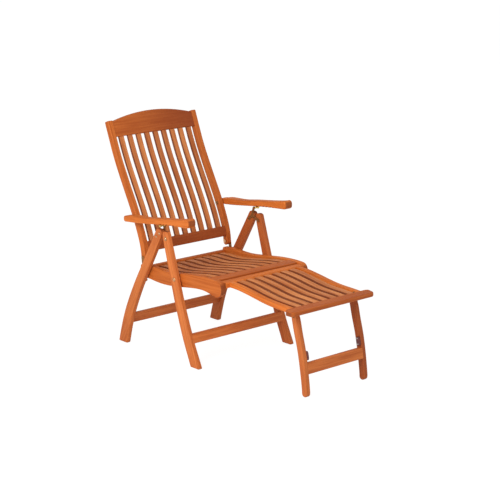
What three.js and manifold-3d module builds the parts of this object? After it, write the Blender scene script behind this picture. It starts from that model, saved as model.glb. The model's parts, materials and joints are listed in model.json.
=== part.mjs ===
// Folding steamer deck chair: slatted hardwood on two crossed pairs of legs, with brass fittings.
// Millimetres, +Z up. The sitter faces -Y, and the sitter's left hand is at +X.
// In every side outline a point is [forward, height]: forward is measured towards the sitter's
// feet, so it is -Y, from the front edge of the front feet. The group is moved at the end, so that
// its origin lies on the ground under the middle of the whole chair.
import * as THREE from 'three';
import { mergeVertices } from 'three/addons/utils/BufferGeometryUtils.js';
import Module from 'manifold-3d';

const wasm = await Module();
wasm.setup();

// Driving dimensions: across the chair
const slatCount = 9;
const backSlatWidth = 26;
const backSlatGap = 22.4;
const backEdgeGap = 19.4;
const seatSlatWidth = 32;
const seatEdgeGap = 13.2;
const slatThickness = 12;
const railThickness = 26;
const sideClearance = 6;
const legThickness = 22;
const armWidth = 45;
const armClearance = 4;
const innerHalf = (slatCount * backSlatWidth + (slatCount - 1) * backSlatGap) / 2 + backEdgeGap;
const railOuter = innerHalf + railThickness;
const legInner = railOuter + sideClearance;
const legOuter = legInner + legThickness;
const armInner = railOuter + armClearance;

// Driving dimensions: fits
const jointGap = 0.3;
const restGap = 0.4;
const boltHoleClearance = 0.4;
const cutOverrun = 5;
const edgeRound = 4;

// Driving dimensions: heights that the rest is stacked on
const seatTop = 405;
const legAboveSeat = 160;
const armAboveLeg = 25;
const backDrop = 14;

// Driving dimensions: front legs
const frontFoot = -28.5;
const frontLegRun = -202.5;
const frontLegHeight = seatTop + legAboveSeat;
const frontFootWidth = 57;
const frontLegTopWidth = 39;
const frontLegRunShares = [
  [0, 0], [0.08, 0.103], [0.179, 0.236], [0.31, 0.379],
  [0.487, 0.559], [0.694, 0.736], [0.912, 0.926], [1, 1],
];

// Driving dimensions: rear legs, whose tops meet the front legs on an upright line
const rearFoot = -531;
const apexSetback = 14;
const rearLegRaise = 4;
const apexLine = frontFoot + frontLegRun - apexSetback;
const rearLegRun = apexLine - apexSetback - rearFoot;
const rearLegHeight = frontLegHeight + rearLegRaise;
const rearFootWidth = 58;
const rearLegTopWidth = 47;
const legTopRound = 13;
const rearLegRunShares = [
  [0, 0], [0.143, 0.079], [0.287, 0.184], [0.505, 0.404], [0.731, 0.676], [1, 1],
];

// Driving dimensions: stretchers between the legs
const stretcherThickness = 20;
const frontStretcherTop = 139;
const frontStretcherDepth = 37;
const rearStretcherTop = 140;
const rearStretcherDepth = 47;
const rearStretcherInset = 14;

// Driving dimensions: seat
const seatRear = -432;
const seatNose = 110;
const seatDip = 28;
const seatRailDepth = 60;
const noseRound = 31;
const railHeelRound = 20;
const seatDipShares = [
  [0, 1.07], [0.022, 1.04], [0.055, 0.89], [0.094, 0.79], [0.17, 0.89], [0.247, 1],
  [0.323, 1], [0.397, 0.89], [0.435, 0.79], [0.581, 0.43], [0.653, 0.25], [0.725, 0.11],
  [0.797, 0.04], [0.867, 0], [0.934, 0.04], [1, 0.18],
];
const seatDepthShares = [
  [0, 0.97], [0.163, 1.02], [0.316, 1], [0.391, 1], [0.543, 0.98], [0.616, 0.96],
  [0.762, 0.95], [0.8, 0.97], [0.871, 1.1], [0.93, 1.17], [1, 1.2],
];
const slatDropFront = 2;
const slatDropRear = 21;
const seatRearRailWidth = 24;
const seatRearRailDepth = 30;
const seatRearRailDrop = 14;
const seatFrontRailWidth = 54;
const seatFrontRailDepth = 22;
const seatFrontRailDrop = 1.5;

// Driving dimensions: back
const backSetForward = 34;
const backFoot = seatRear + backSetForward;
const backFootHeight = seatTop - backDrop;
const backRun = -255;
const backRise = 590;
const stileDepth = 27.5;
const backSlatInset = 7.5;
const backRailInset = 2;
const backRailThickness = 23;
const bottomRailRaise = 43;
const bottomRailDepth = 46;
const topRailDepth = 64;
const archRise = 30;
const archCrown = 26;
const stileHorn = 4;
const bottomRailBase = backFootHeight + bottomRailRaise;
const bottomRailTop = bottomRailBase + bottomRailDepth;
const topRailBase = backFootHeight + backRise - topRailDepth;
const archHeight = backFootHeight + backRise + archCrown;
const backRunShares = [
  [0, 0], [0.097, 0.02], [0.156, 0.063], [0.217, 0.118], [0.276, 0.176], [0.393, 0.31], [0.51, 0.463],
  [0.627, 0.612], [0.746, 0.757], [0.866, 0.875], [0.986, 0.988], [1.06, 1.055],
];

// Driving dimensions: arms
const armLength = 446;
const armHeel = 20;
const armPivotDrop = 12;
const armPivotInset = 17.3;
const armRearTop = frontLegHeight + armAboveLeg;
const armRise = 60;
const armThickness = 30;
const armNoseRound = 15;
const armHeelRound = 9;
const armTopShares = [
  [0, -0.02], [0.011, 0], [0.105, 0.17], [0.195, 0.205], [0.341, 0.27], [0.518, 0.48], [0.693, 0.65],
  [0.865, 0.84], [0.966, 0.985], [1, 1.03],
];
const armThicknessShares = [
  [0, 0.77], [0.011, 0.8], [0.105, 1], [0.195, 0.95], [0.341, 0.8], [0.518, 0.87],
  [0.693, 0.9], [0.865, 1.05], [0.966, 1.23], [1, 1.27],
];
const catchNotchCount = 5;
const catchNotchPitch = 22;
const catchNotchRadius = 6;

// Driving dimensions: footrest
const footrestSetback = 39;
const footrestClearance = 5;
const footrestRearRailWidth = 41;
const footrestRearRailDepth = 24;
const footrestRearRailDrop = 7;
const footrestLength = 407;
const footrestDrop = 33;
const footrestStep = 1;
const footrestRailDepth = 22;
const footrestRailThickness = 24;
const footrestSlatCount = 7;
const footrestSlatGap = 17.5;
const footrestEdgeGap = 16.5;
const footrestSlatDrop = 2;
const footrestBoardWidth = 50;
const footrestBoardDepth = 23;
const footrestBoardOverhang = 35;
const footrestBoardRound = 22;
const footrestStart = seatNose - footrestSetback;
const footrestRearRailTop = seatTop - footrestRearRailDrop;
const footrestTopShares = [
  [0, 0], [0.156, 0.03], [0.254, 0.18], [0.396, 0.4], [0.53, 0.64], [0.68, 0.82], [0.88, 0.88], [1, 0.95],
  [1.15, 1.1],
];

// Driving dimensions: footrest legs
const footrestLegRun = 70;
const footrestLegTopWidth = 35;
const footrestLegFootWidth = 30;
const footrestLegThickness = 22;
const footrestLegHeadRadius = 16;
const footrestStretcherTop = 139;
const footrestStretcherDepth = 45;
const footrestLegSetback = 8;
const footrestLegDrop = 68;
const footrestLegRunShares = [
  [0, 1], [0.07, 1], [0.27, 0.86], [0.466, 0.69], [0.61, 0.53], [0.745, 0.34],
  [0.84, 0.21], [0.94, 0.1], [1, 0],
];

// Driving dimensions: brass fittings
const plateThickness = 2.5;
const boltRadius = 4;
const boltHeadRadius = 9;
const boltHeadHeight = 5;
const collarRadius = 12;
const rivetRadius = 3;
const rivetHeadRadius = 6;
const rivetHeadHeight = 3;
const pinRadius = 4.5;
const knobRadius = 6.5;
const knobLength = 7;
const pinDepth = 30;
const plugDepth = 6;
const dowelRadius = 7;
const dowelReach = 18;
const dowelOffset = 6;
const catchPinSetback = 8;
const domeShares = [0.9, 0.55];

// Driving dimensions: where the pivots and rivets stand in the pieces that carry them
const apexPivotDrop = 31;
const apexPivotOffset = 1;
const seatPivotDrop = 39;
const seatPivotOffset = 6;
const backPivotRaise = 18;
const backPivotInset = 13.5;
const lowRivetDrop = 36;
const lowRivetOffset = -4;
const highRivetDrop = 19;
const highRivetOffset = 7;

// Detail of the curved outlines
const bodySteps = 14;
const slatSteps = 8;
const railSteps = 4;
const cornerSteps = 4;
const roundSides = 16;

// Materials
const timber = (color) => new THREE.MeshStandardMaterial({ color, roughness: 0.55, metalness: 0 });
const legWood = timber('#bd6a2e');
const frameWood = timber('#c8743a');
const slatWood = timber('#cd7f4e');
const brass = new THREE.MeshStandardMaterial({ color: '#c9a44e', roughness: 0.3, metalness: 1 });

const chair = new THREE.Group();

// Curves and outlines

// The value at one place of a table of [place, value] pairs, smooth between the pairs.
function smoothShare(table, place) {
  const last = table.length - 1;
  let low = 0;
  while (low < last - 1 && place > table[low + 1][0]) low += 1;
  const slope = (k) => {
    const before = table[Math.max(k - 1, 0)];
    const after = table[Math.min(k + 1, last)];
    return (after[1] - before[1]) / (after[0] - before[0]);
  };
  const [start, from] = table[low];
  const [end, to] = table[low + 1];
  const span = end - start;
  const t = (place - start) / span;
  const lead = (2 * t * t * t - 3 * t * t + 1) * from + (3 * t * t - 2 * t * t * t) * to;
  return lead + span * ((t * t * t - 2 * t * t + t) * slope(low) + (t * t * t - t * t) * slope(low + 1));
}

// Evenly spaced values from one to another, both ends included.
function spread(from, to, steps) {
  return Array.from({ length: steps + 1 }, (_, k) => from + ((to - from) * k) / steps);
}

// The outline with every corner that carries a radius, as its third number, turned into an arc.
function rounded(points) {
  const outline = [];
  points.forEach(([forward, height, radius = 0], k) => {
    const corner = new THREE.Vector2(forward, height);
    if (radius === 0) {
      outline.push(corner);
      return;
    }
    const before = new THREE.Vector2(...points.at(k - 1).slice(0, 2)).sub(corner).normalize();
    const next = points[(k + 1) % points.length];
    const after = new THREE.Vector2(...next.slice(0, 2)).sub(corner).normalize();
    const half = Math.acos(before.dot(after)) / 2;
    const middle = before.clone().add(after).normalize();
    const centre = corner.clone().addScaledVector(middle, radius / Math.sin(half));
    const first = corner.clone().addScaledVector(before, radius / Math.tan(half)).sub(centre);
    const turn = (Math.PI - 2 * half) * Math.sign(before.cross(after)) * -1;
    for (const angle of spread(0, turn, cornerSteps)) {
      outline.push(first.clone().rotateAround(new THREE.Vector2(), angle).add(centre));
    }
  });
  return outline.map((point) => [point.x, point.y]);
}

// The side outline of an upright bar: heights going up one edge and down the other.
function uprightOutline(heights, rearEdge, frontEdge, topRound) {
  const front = heights.map((height) => [frontEdge(height), height]);
  const rear = heights.map((height) => [rearEdge(height), height]);
  front.at(-1).push(topRound);
  rear.at(-1).push(topRound);
  return rounded([...front, ...rear.reverse()]);
}

// Solids

// A closed geometry as a solid that can be cut and joined.
function solidOf(geometry) {
  const bare = new THREE.BufferGeometry();
  bare.setAttribute('position', geometry.getAttribute('position'));
  bare.setIndex(geometry.getIndex());
  const merged = mergeVertices(bare);
  return new wasm.Manifold(new wasm.Mesh({
    numProp: 3,
    vertProperties: new Float32Array(merged.getAttribute('position').array),
    triVerts: new Uint32Array(merged.getIndex().array),
  }));
}

// A board of one side outline, between two planes across the chair.
function board(outline, from, to) {
  const shape = new THREE.Shape(outline.map(([forward, height]) => new THREE.Vector2(-forward, height)));
  const depth = Math.abs(to - from);
  const geometry = new THREE.ExtrudeGeometry(shape, { depth, bevelEnabled: false });
  const alongY = new THREE.Vector3(0, 1, 0);
  const alongZ = new THREE.Vector3(0, 0, 1);
  const alongX = new THREE.Vector3(1, 0, 0);
  geometry.applyMatrix4(new THREE.Matrix4().makeBasis(alongY, alongZ, alongX));
  geometry.translate(Math.min(from, to), 0, 0);
  return solidOf(geometry);
}

// A turned piece on an axis across the chair: [place across, radius] pairs, closed on the axis.
function turned(profile, [forward, height]) {
  const ordered = profile.at(0)[0] < profile.at(-1)[0] ? profile : [...profile].reverse();
  const points = [
    new THREE.Vector2(0, ordered.at(0)[0]),
    ...ordered.map(([across, radius]) => new THREE.Vector2(radius, across)),
    new THREE.Vector2(0, ordered.at(-1)[0]),
  ];
  const geometry = new THREE.LatheGeometry(points, roundSides);
  geometry.rotateZ(-Math.PI / 2);
  geometry.translate(0, -forward, height);
  return solidOf(geometry);
}

// A plain round rod across the chair.
function rod(radius, from, to, place) {
  return turned([[from, radius], [to, radius]], place);
}

// An outline in plan or in front view, taken straight through the chair as a cutter.
function throughPlan(outline, from, to) {
  const shape = new THREE.Shape(outline.map(([across, forward]) => new THREE.Vector2(across, -forward)));
  const geometry = new THREE.ExtrudeGeometry(shape, { depth: to - from, bevelEnabled: false });
  geometry.translate(0, 0, from);
  return solidOf(geometry);
}

function throughFront(outline, from, to) {
  const shape = new THREE.Shape(outline.map(([across, height]) => new THREE.Vector2(across, height)));
  const geometry = new THREE.ExtrudeGeometry(shape, { depth: to - from, bevelEnabled: false });
  geometry.rotateX(Math.PI / 2);
  geometry.translate(0, -from, 0);
  return solidOf(geometry);
}

function addPiece(name, solid, material) {
  const { vertProperties, triVerts } = solid.getMesh();
  const geometry = new THREE.BufferGeometry();
  geometry.setAttribute('position', new THREE.BufferAttribute(new Float32Array(vertProperties), 3));
  geometry.setIndex(new THREE.BufferAttribute(new Uint32Array(triVerts), 1));
  geometry.computeVertexNormals();
  const piece = new THREE.Mesh(geometry, material.clone());
  piece.name = name;
  chair.add(piece);
}

const sides = [['left', 1], ['right', -1]];
const hole = (radius, place, from, to) => {
  const reach = Math.sign(to - from) * cutOverrun;
  return rod(radius + boltHoleClearance, from - reach, to + reach, place);
};

// Legs and stretchers

const frontLegCentre = (height) =>
  frontFoot + frontLegRun * smoothShare(frontLegRunShares, height / frontLegHeight);
const frontLegHalf = (height) =>
  (frontFootWidth + ((frontLegTopWidth - frontFootWidth) * height) / frontLegHeight) / 2;
const frontLegRearEdge = (height) =>
  Math.max(frontLegCentre(height) - frontLegHalf(height), apexLine + jointGap);
const frontLegFrontEdge = (height) => frontLegCentre(height) + frontLegHalf(height);

const rearLegCentre = (height) =>
  rearFoot + rearLegRun * smoothShare(rearLegRunShares, height / rearLegHeight);
const rearLegHalf = (height) =>
  (rearFootWidth + ((rearLegTopWidth - rearFootWidth) * height) / rearLegHeight) / 2;
const rearLegRearEdge = (height) => rearLegCentre(height) - rearLegHalf(height);
const rearLegFrontEdge = (height) =>
  Math.min(rearLegCentre(height) + rearLegHalf(height), apexLine - jointGap);

const onFrontLeg = (height, offset) => [frontLegCentre(height) + offset, height];
const onRearLeg = (height, offset) => [rearLegCentre(height) + offset, height];
const apexPivot = onFrontLeg(frontLegHeight - apexPivotDrop, apexPivotOffset);
const seatPivot = onFrontLeg(seatTop - seatPivotDrop, seatPivotOffset);
const rivetLow = onRearLeg(rearLegHeight - lowRivetDrop, lowRivetOffset);
const rivetHigh = onRearLeg(rearLegHeight - highRivetDrop, highRivetOffset);
const dowelPlace = onRearLeg(seatTop - seatDip - seatRailDepth - restGap - dowelRadius, dowelOffset);

function makeFrontLeg(side, name) {
  const outline = uprightOutline(
    spread(0, frontLegHeight, bodySteps), frontLegRearEdge, frontLegFrontEdge, legTopRound,
  );
  const leg = board(outline, side * legInner, side * legOuter)
    .subtract(hole(boltRadius, apexPivot, side * legInner, side * legOuter))
    .subtract(hole(boltRadius, seatPivot, side * legInner, side * legOuter));
  addPiece(name, leg, legWood);
}

function makeRearLeg(side, name) {
  const outline = uprightOutline(
    spread(0, rearLegHeight, bodySteps), rearLegRearEdge, rearLegFrontEdge, legTopRound,
  );
  const leg = board(outline, side * legInner, side * legOuter)
    .subtract(hole(rivetRadius, rivetLow, side * legInner, side * legOuter))
    .subtract(hole(rivetRadius, rivetHigh, side * legInner, side * legOuter))
    .add(rod(dowelRadius, side * (legInner + cutOverrun), side * (legInner - dowelReach), dowelPlace));
  addPiece(name, leg, legWood);
}

// A stretcher whose front face lies a given way behind the front edge of the two legs.
function makeStretcher(name, frontEdge, inset, top, depth, half) {
  const heights = spread(top - depth, top, railSteps);
  const front = heights.map((height) => [frontEdge(height) - inset, height]);
  const rear = heights.map((height) => [frontEdge(height) - inset - stretcherThickness, height]);
  const outline = [...front, ...rear.reverse()];
  addPiece(name, board(outline, -half, half), legWood);
}

for (const [word, side] of sides) {
  makeFrontLeg(side, `front_leg_${word}`);
  makeRearLeg(side, `rear_leg_${word}`);
}
const stretcherHalf = legInner - jointGap;
makeStretcher(
  'front_stretcher', frontLegFrontEdge, 0, frontStretcherTop, frontStretcherDepth, stretcherHalf,
);
makeStretcher(
  'rear_stretcher', rearLegFrontEdge, rearStretcherInset, rearStretcherTop, rearStretcherDepth,
  stretcherHalf,
);

// Seat

const seatLength = seatNose - seatRear;
const seatShare = (forward) => (forward - seatRear) / seatLength;
const railTopAt = (forward) => seatTop - seatDip * smoothShare(seatDipShares, seatShare(forward));
const railUnderAt = (forward) =>
  railTopAt(forward) - seatRailDepth * smoothShare(seatDepthShares, seatShare(forward));
const footrestPivot = [
  footrestStart + footrestRearRailWidth / 2, footrestRearRailTop - footrestRearRailDepth / 2,
];
function makeSeatRail(side, name) {
  const noseStart = seatNose - noseRound;
  const noseDepth = railTopAt(noseStart) - railUnderAt(noseStart);
  const noseCorner = Math.min(noseRound, noseDepth / 2) - jointGap;
  const heel = seatRear + railHeelRound;
  const top = spread(heel, noseStart, bodySteps).map((forward) => [forward, railTopAt(forward)]);
  const under = spread(noseStart, heel, bodySteps).map((forward) => [forward, railUnderAt(forward)]);
  const outline = rounded([
    [seatRear, railTopAt(heel), railHeelRound / 2],
    ...top,
    [seatNose, railTopAt(noseStart), noseCorner],
    [seatNose, railUnderAt(noseStart), noseCorner],
    ...under,
    [seatRear, railUnderAt(heel), railHeelRound - jointGap],
  ]);
  const [from, to] = [side * innerHalf, side * railOuter];
  const rail = board(outline, from, to)
    .subtract(hole(boltRadius, seatPivot, from, to))
    .subtract(hole(boltRadius, footrestPivot, from, to));
  addPiece(name, rail, frameWood);
}

const frontRailRear = footrestStart - footrestClearance - seatFrontRailWidth;
const rearRailFront = seatRear + seatRearRailWidth;
const seatSlatTopAt = (forward) => {
  const share = (frontRailRear - forward) / (frontRailRear - rearRailFront);
  return railTopAt(forward) - slatDropFront - (slatDropRear - slatDropFront) * share;
};

// A band along the seat or footrest: one curved top and a second one a thickness below it.
function bandOutline(from, to, topAt, thickness, steps) {
  const top = spread(from, to, steps).map((forward) => [forward, topAt(forward)]);
  const under = [...top].reverse().map(([forward, height]) => [forward, height - thickness]);
  return [...top, ...under];
}

const seatSlatPitch = (2 * (innerHalf - seatEdgeGap) - seatSlatWidth) / (slatCount - 1);
const slatPlaces = (count, pitch) =>
  Array.from({ length: count }, (_, k) => (k - (count - 1) / 2) * pitch);

function addSlats(name, outline, places, width) {
  places.forEach((across, k) => {
    const slat = board(outline, across - width / 2, across + width / 2);
    addPiece(`${name}_${k + 1}`, slat, slatWood);
  });
}

function makeSeat() {
  for (const [word, side] of sides) makeSeatRail(side, `seat_rail_${word}`);
  const half = innerHalf - jointGap;
  const slat = bandOutline(
    rearRailFront + jointGap, frontRailRear - jointGap, seatSlatTopAt, slatThickness, slatSteps,
  );
  addSlats('seat_slat', slat, slatPlaces(slatCount, seatSlatPitch), seatSlatWidth);
  const rearTop = railTopAt(rearRailFront) - seatRearRailDrop;
  const rearRail = rounded([
    [seatRear, rearTop, edgeRound],
    [rearRailFront, rearTop, edgeRound],
    [rearRailFront, rearTop - seatRearRailDepth],
    [seatRear, rearTop - seatRearRailDepth],
  ]);
  addPiece('seat_rear_rail', board(rearRail, -half, half), frameWood);
  const frontTopAt = (forward) => railTopAt(forward) - seatFrontRailDrop;
  const frontRailFront = frontRailRear + seatFrontRailWidth;
  const frontRail = bandOutline(frontRailRear, frontRailFront, frontTopAt, seatFrontRailDepth, railSteps);
  addPiece('seat_front_rail', board(frontRail, -half, half), frameWood);
}
makeSeat();

// Back

// A point of the back: a height on the front edge of the stiles, moved square to it by an inset.
function backPoint(height, inset) {
  const at = (level) =>
    backFoot + backRun * smoothShare(backRunShares, (level - backFootHeight) / backRise);
  const reach = backRise / bodySteps;
  const lean = Math.atan2(at(height + reach / 2) - at(height - reach / 2), reach);
  return [at(height) - inset * Math.cos(lean), height + inset * Math.sin(lean)];
}

function backOutline(from, to, frontInset, thickness, steps) {
  const levels = spread(from, to, steps);
  const front = levels.map((height) => backPoint(height, frontInset));
  const rear = levels.map((height) => backPoint(height, frontInset + thickness));
  return [...front, ...rear.reverse()];
}

const backPivot = backPoint(backFootHeight + backPivotRaise, backPivotInset);
const armPivotHeight = armRearTop - armPivotDrop;
const armPivot = [backPoint(armPivotHeight, armPivotInset)[0], armPivotHeight];

function makeStile(side, name) {
  const top = backFootHeight + backRise + stileHorn;
  const outline = backOutline(backFootHeight, top, 0, stileDepth, bodySteps);
  const footRound = stileDepth / 2 - jointGap;
  outline[0].push(footRound);
  outline.at(-1).push(footRound);
  outline[bodySteps].push(edgeRound);
  outline[bodySteps + 1].push(edgeRound);
  const [from, to] = [side * innerHalf, side * railOuter];
  const stile = board(rounded(outline), from, to)
    .subtract(hole(boltRadius, backPivot, from, to))
    .subtract(hole(boltRadius, armPivot, from, to));
  addPiece(name, stile, frameWood);
}

function makeBack() {
  for (const [word, side] of sides) makeStile(side, `back_stile_${word}`);
  const half = innerHalf - jointGap;
  const bottomRail = backOutline(
    bottomRailBase, bottomRailTop, backRailInset, backRailThickness, railSteps,
  );
  addPiece('back_bottom_rail', board(bottomRail, -half, half), frameWood);

  const archRadius = (innerHalf * innerHalf + archRise * archRise) / (2 * archRise);
  const archAt = (across) =>
    archHeight - archRadius + Math.sqrt(archRadius * archRadius - across * across);
  const arch = spread(-innerHalf, innerHalf, bodySteps).map((across) => [across, archAt(across)]);
  const archCut = throughFront(
    [[-innerHalf, bottomRailBase], [innerHalf, bottomRailBase], ...arch.reverse()],
    backFoot + 2 * backRun, backFoot,
  );
  const topRailEnd = archHeight + edgeRound;
  const topRail = backOutline(topRailBase, topRailEnd, backRailInset, backRailThickness, railSteps);
  addPiece('back_top_rail', board(topRail, -half, half).intersect(archCut), frameWood);

  const slat = backOutline(
    bottomRailTop + jointGap, topRailBase - jointGap, backSlatInset, slatThickness, slatSteps,
  );
  addSlats('back_slat', slat, slatPlaces(slatCount, backSlatWidth + backSlatGap), backSlatWidth);
}
makeBack();

// Arms

const armRear = armPivot[0] - armHeel;
const armShare = (forward) => (forward - armRear) / armLength;
const armTopAt = (forward) => armRearTop + armRise * smoothShare(armTopShares, armShare(forward));
const armUnderAt = (forward) =>
  armTopAt(forward) - armThickness * smoothShare(armThicknessShares, armShare(forward));
const catchPinForward = apexLine - catchPinSetback;
const catchPin = [catchPinForward, armUnderAt(catchPinForward) - restGap - knobRadius];
const armBoltEnd = armInner + armWidth / 2;

function makeArm(side, name) {
  const front = armRear + armLength;
  const [heel, nose] = [armRear + armNoseRound, front - armNoseRound];
  const top = spread(heel, nose, bodySteps).map((forward) => [forward, armTopAt(forward)]);
  const under = spread(nose, heel, bodySteps).map((forward) => [forward, armUnderAt(forward)]);
  const outline = rounded([
    [armRear, armTopAt(heel), armHeelRound],
    ...top,
    [front, armTopAt(nose), armNoseRound - jointGap],
    [front, armUnderAt(nose), armNoseRound - jointGap],
    ...under,
    [armRear, armUnderAt(heel), armHeelRound],
  ]);
  const [from, to] = [side * armInner, side * (armInner + armWidth)];
  const plan = rounded([
    [from, armRear, armHeelRound],
    [from, front, armNoseRound],
    [to, front, armNoseRound],
    [to, armRear, armHeelRound],
  ]);
  let arm = board(outline, from, to)
    .intersect(throughPlan(plan, armRearTop - armThickness * 2, armRearTop + armRise * 2))
    .subtract(rod(boltRadius + boltHoleClearance, from - side * cutOverrun, side * armBoltEnd, armPivot));
  for (let k = 1; k <= catchNotchCount; k += 1) {
    const forward = catchPin[0] + k * catchNotchPitch;
    const notch = [forward, armUnderAt(forward)];
    arm = arm.subtract(rod(catchNotchRadius, from - side * cutOverrun, to + side * cutOverrun, notch));
  }
  addPiece(name, arm, frameWood);
}
for (const [word, side] of sides) makeArm(side, `arm_${word}`);

// Footrest

const footrestRailStart = footrestStart + footrestRearRailWidth;
const footrestBoardRear = footrestStart + footrestLength;
const footrestTopAt = (forward) => {
  const share = (forward - footrestRailStart) / (footrestBoardRear - footrestRailStart);
  return footrestRearRailTop - footrestStep - footrestDrop * smoothShare(footrestTopShares, share);
};
const footrestSlatHalf =
  (footrestSlatCount * seatSlatWidth + (footrestSlatCount - 1) * footrestSlatGap) / 2 + footrestEdgeGap;
const footrestBoardHalf = footrestSlatHalf + footrestRailThickness + footrestBoardOverhang;

function makeFootrest() {
  const rearHalf = innerHalf - 2 * jointGap;
  const rearRail = rounded([
    [footrestStart, footrestRearRailTop, edgeRound],
    [footrestRailStart, footrestRearRailTop, edgeRound],
    [footrestRailStart, footrestRearRailTop - footrestRearRailDepth, edgeRound],
    [footrestStart, footrestRearRailTop - footrestRearRailDepth, edgeRound],
  ]);
  let rail = board(rearRail, -rearHalf, rearHalf);
  for (const side of [1, -1]) {
    const socketEnd = side * (innerHalf - pinDepth);
    rail = rail.subtract(hole(boltRadius, footrestPivot, socketEnd, side * innerHalf));
  }
  addPiece('footrest_rear_rail', rail, frameWood);

  const [bandStart, bandEnd] = [footrestRailStart + jointGap, footrestBoardRear - jointGap];
  const band = bandOutline(bandStart, bandEnd, footrestTopAt, footrestRailDepth, slatSteps);
  for (const [word, side] of sides) {
    const outer = side * (footrestSlatHalf + footrestRailThickness);
    addPiece(`footrest_rail_${word}`, board(band, side * footrestSlatHalf, outer), frameWood);
  }
  const slatTopAt = (forward) => footrestTopAt(forward) - footrestSlatDrop;
  const slat = bandOutline(bandStart, bandEnd, slatTopAt, slatThickness, slatSteps);
  const pitch = seatSlatWidth + footrestSlatGap;
  addSlats('footrest_slat', slat, slatPlaces(footrestSlatCount, pitch), seatSlatWidth);

  const boardFront = footrestBoardRear + footrestBoardWidth;
  const boardTop = footrestTopAt(footrestBoardRear) + footrestSlatDrop;
  const section = rounded([
    [footrestBoardRear, boardTop, edgeRound],
    [boardFront, boardTop - edgeRound, footrestBoardDepth / 3],
    [boardFront, boardTop - footrestBoardDepth, footrestBoardDepth / 3],
    [footrestBoardRear, boardTop - footrestBoardDepth, edgeRound / 2],
  ]);
  const plan = rounded([
    [-footrestBoardHalf, footrestBoardRear, footrestBoardRound],
    [-footrestBoardHalf, boardFront, footrestBoardRound],
    [footrestBoardHalf, boardFront, footrestBoardRound],
    [footrestBoardHalf, footrestBoardRear, footrestBoardRound],
  ]);
  const nose = board(section, -footrestBoardHalf, footrestBoardHalf)
    .intersect(throughPlan(plan, boardTop - footrestBoardDepth * 2, boardTop + footrestBoardDepth));
  addPiece('footrest_front_rail', nose, frameWood);
}
makeFootrest();

// Footrest legs

const hangerInner = footrestSlatHalf - jointGap - plateThickness;
const footrestLegPivot = [footrestBoardRear - footrestLegSetback, footrestRearRailTop - footrestLegDrop];
const footrestLegOuter = hangerInner - jointGap;
const footrestLegInner = footrestLegOuter - footrestLegThickness;
const footrestLegCentre = (height) =>
  footrestLegPivot[0] + footrestLegRun * smoothShare(footrestLegRunShares, height / footrestLegPivot[1]);
const footrestLegTaper = (footrestLegTopWidth - footrestLegFootWidth) / footrestLegPivot[1];
const footrestLegHalf = (height) => (footrestLegFootWidth + footrestLegTaper * height) / 2;
const footrestLegFront = (height) => footrestLegCentre(height) + footrestLegHalf(height);
const footrestLegRear = (height) => footrestLegCentre(height) - footrestLegHalf(height);

function makeFootrestLeg(side, name) {
  const shoulder = footrestLegPivot[1] - footrestLegHeadRadius;
  const heights = spread(0, shoulder, bodySteps);
  const front = heights.map((height) => [footrestLegFront(height), height]);
  const rear = heights.map((height) => [footrestLegRear(height), height]);
  const footRound = footrestLegFootWidth / 2 - jointGap;
  front[0].push(footRound);
  rear[0].push(footRound);
  const head = spread(0, Math.PI, cornerSteps * 2).map((angle) => [
    footrestLegPivot[0] + footrestLegHeadRadius * Math.cos(angle),
    footrestLegPivot[1] + footrestLegHeadRadius * Math.sin(angle),
  ]);
  const [from, to] = [side * footrestLegInner, side * footrestLegOuter];
  const leg = board(rounded([...front, ...head, ...rear.reverse()]), from, to)
    .subtract(hole(boltRadius, footrestLegPivot, from, to));
  addPiece(name, leg, legWood);
}
for (const [word, side] of sides) makeFootrestLeg(side, `footrest_leg_${word}`);
makeStretcher(
  'footrest_stretcher', footrestLegFront, 0, footrestStretcherTop, footrestStretcherDepth,
  footrestLegInner - jointGap,
);

// Brass fittings

// A strap plate: a band with round ends about a run of places, between two planes across the chair.
function strap(places, radius, from, to) {
  let plate = null;
  for (let k = 0; k + 1 < places.length; k += 1) {
    const [start, end] = [new THREE.Vector2(...places[k]), new THREE.Vector2(...places[k + 1])];
    const heading = end.clone().sub(start).angle();
    const arc = (centre, first) => spread(first, first + Math.PI, cornerSteps * 2)
      .map((angle) => [centre.x + radius * Math.cos(angle), centre.y + radius * Math.sin(angle)]);
    const band = [...arc(end, heading - Math.PI / 2), ...arc(start, heading + Math.PI / 2)];
    const link = board(band, from, to);
    plate = plate ? plate.add(link) : link;
  }
  return plate;
}

// A round shank from a plate, ending in a domed head that stands on the far face.
function shank(side, root, face, radius, headRadius, headHeight, place) {
  const seat = face + Math.sign(face - root) * jointGap;
  const crown = seat + Math.sign(face - root) * headHeight;
  return turned([
    [side * root, radius],
    [side * seat, radius],
    [side * seat, headRadius],
    [side * (seat + (crown - seat) / 2), headRadius * domeShares[0]],
    [side * crown, headRadius * domeShares[1]],
  ], place);
}

function makeApexPlate(side, name) {
  const inner = legInner - jointGap - plateThickness;
  const outer = legInner - jointGap;
  const root = outer - jointGap;
  const plate = strap([rivetLow, rivetHigh, apexPivot], rivetHeadRadius + 1, side * inner, side * outer)
    .add(strap([rivetHigh, catchPin], knobRadius, side * inner, side * outer))
    .add(shank(side, root, legOuter, rivetRadius, rivetHeadRadius, rivetHeadHeight, rivetLow))
    .add(shank(side, root, legOuter, rivetRadius, rivetHeadRadius, rivetHeadHeight, rivetHigh))
    .add(shank(side, root, legOuter, boltRadius, boltHeadRadius, boltHeadHeight, apexPivot))
    .add(turned([
      [side * root, pinRadius],
      [side * legOuter, pinRadius],
      [side * legOuter, knobRadius],
      [side * (legOuter + knobLength - edgeRound / 2), knobRadius],
      [side * (legOuter + knobLength), knobRadius * domeShares[0]],
    ], catchPin));
  addPiece(name, plate, brass);
}

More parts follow.
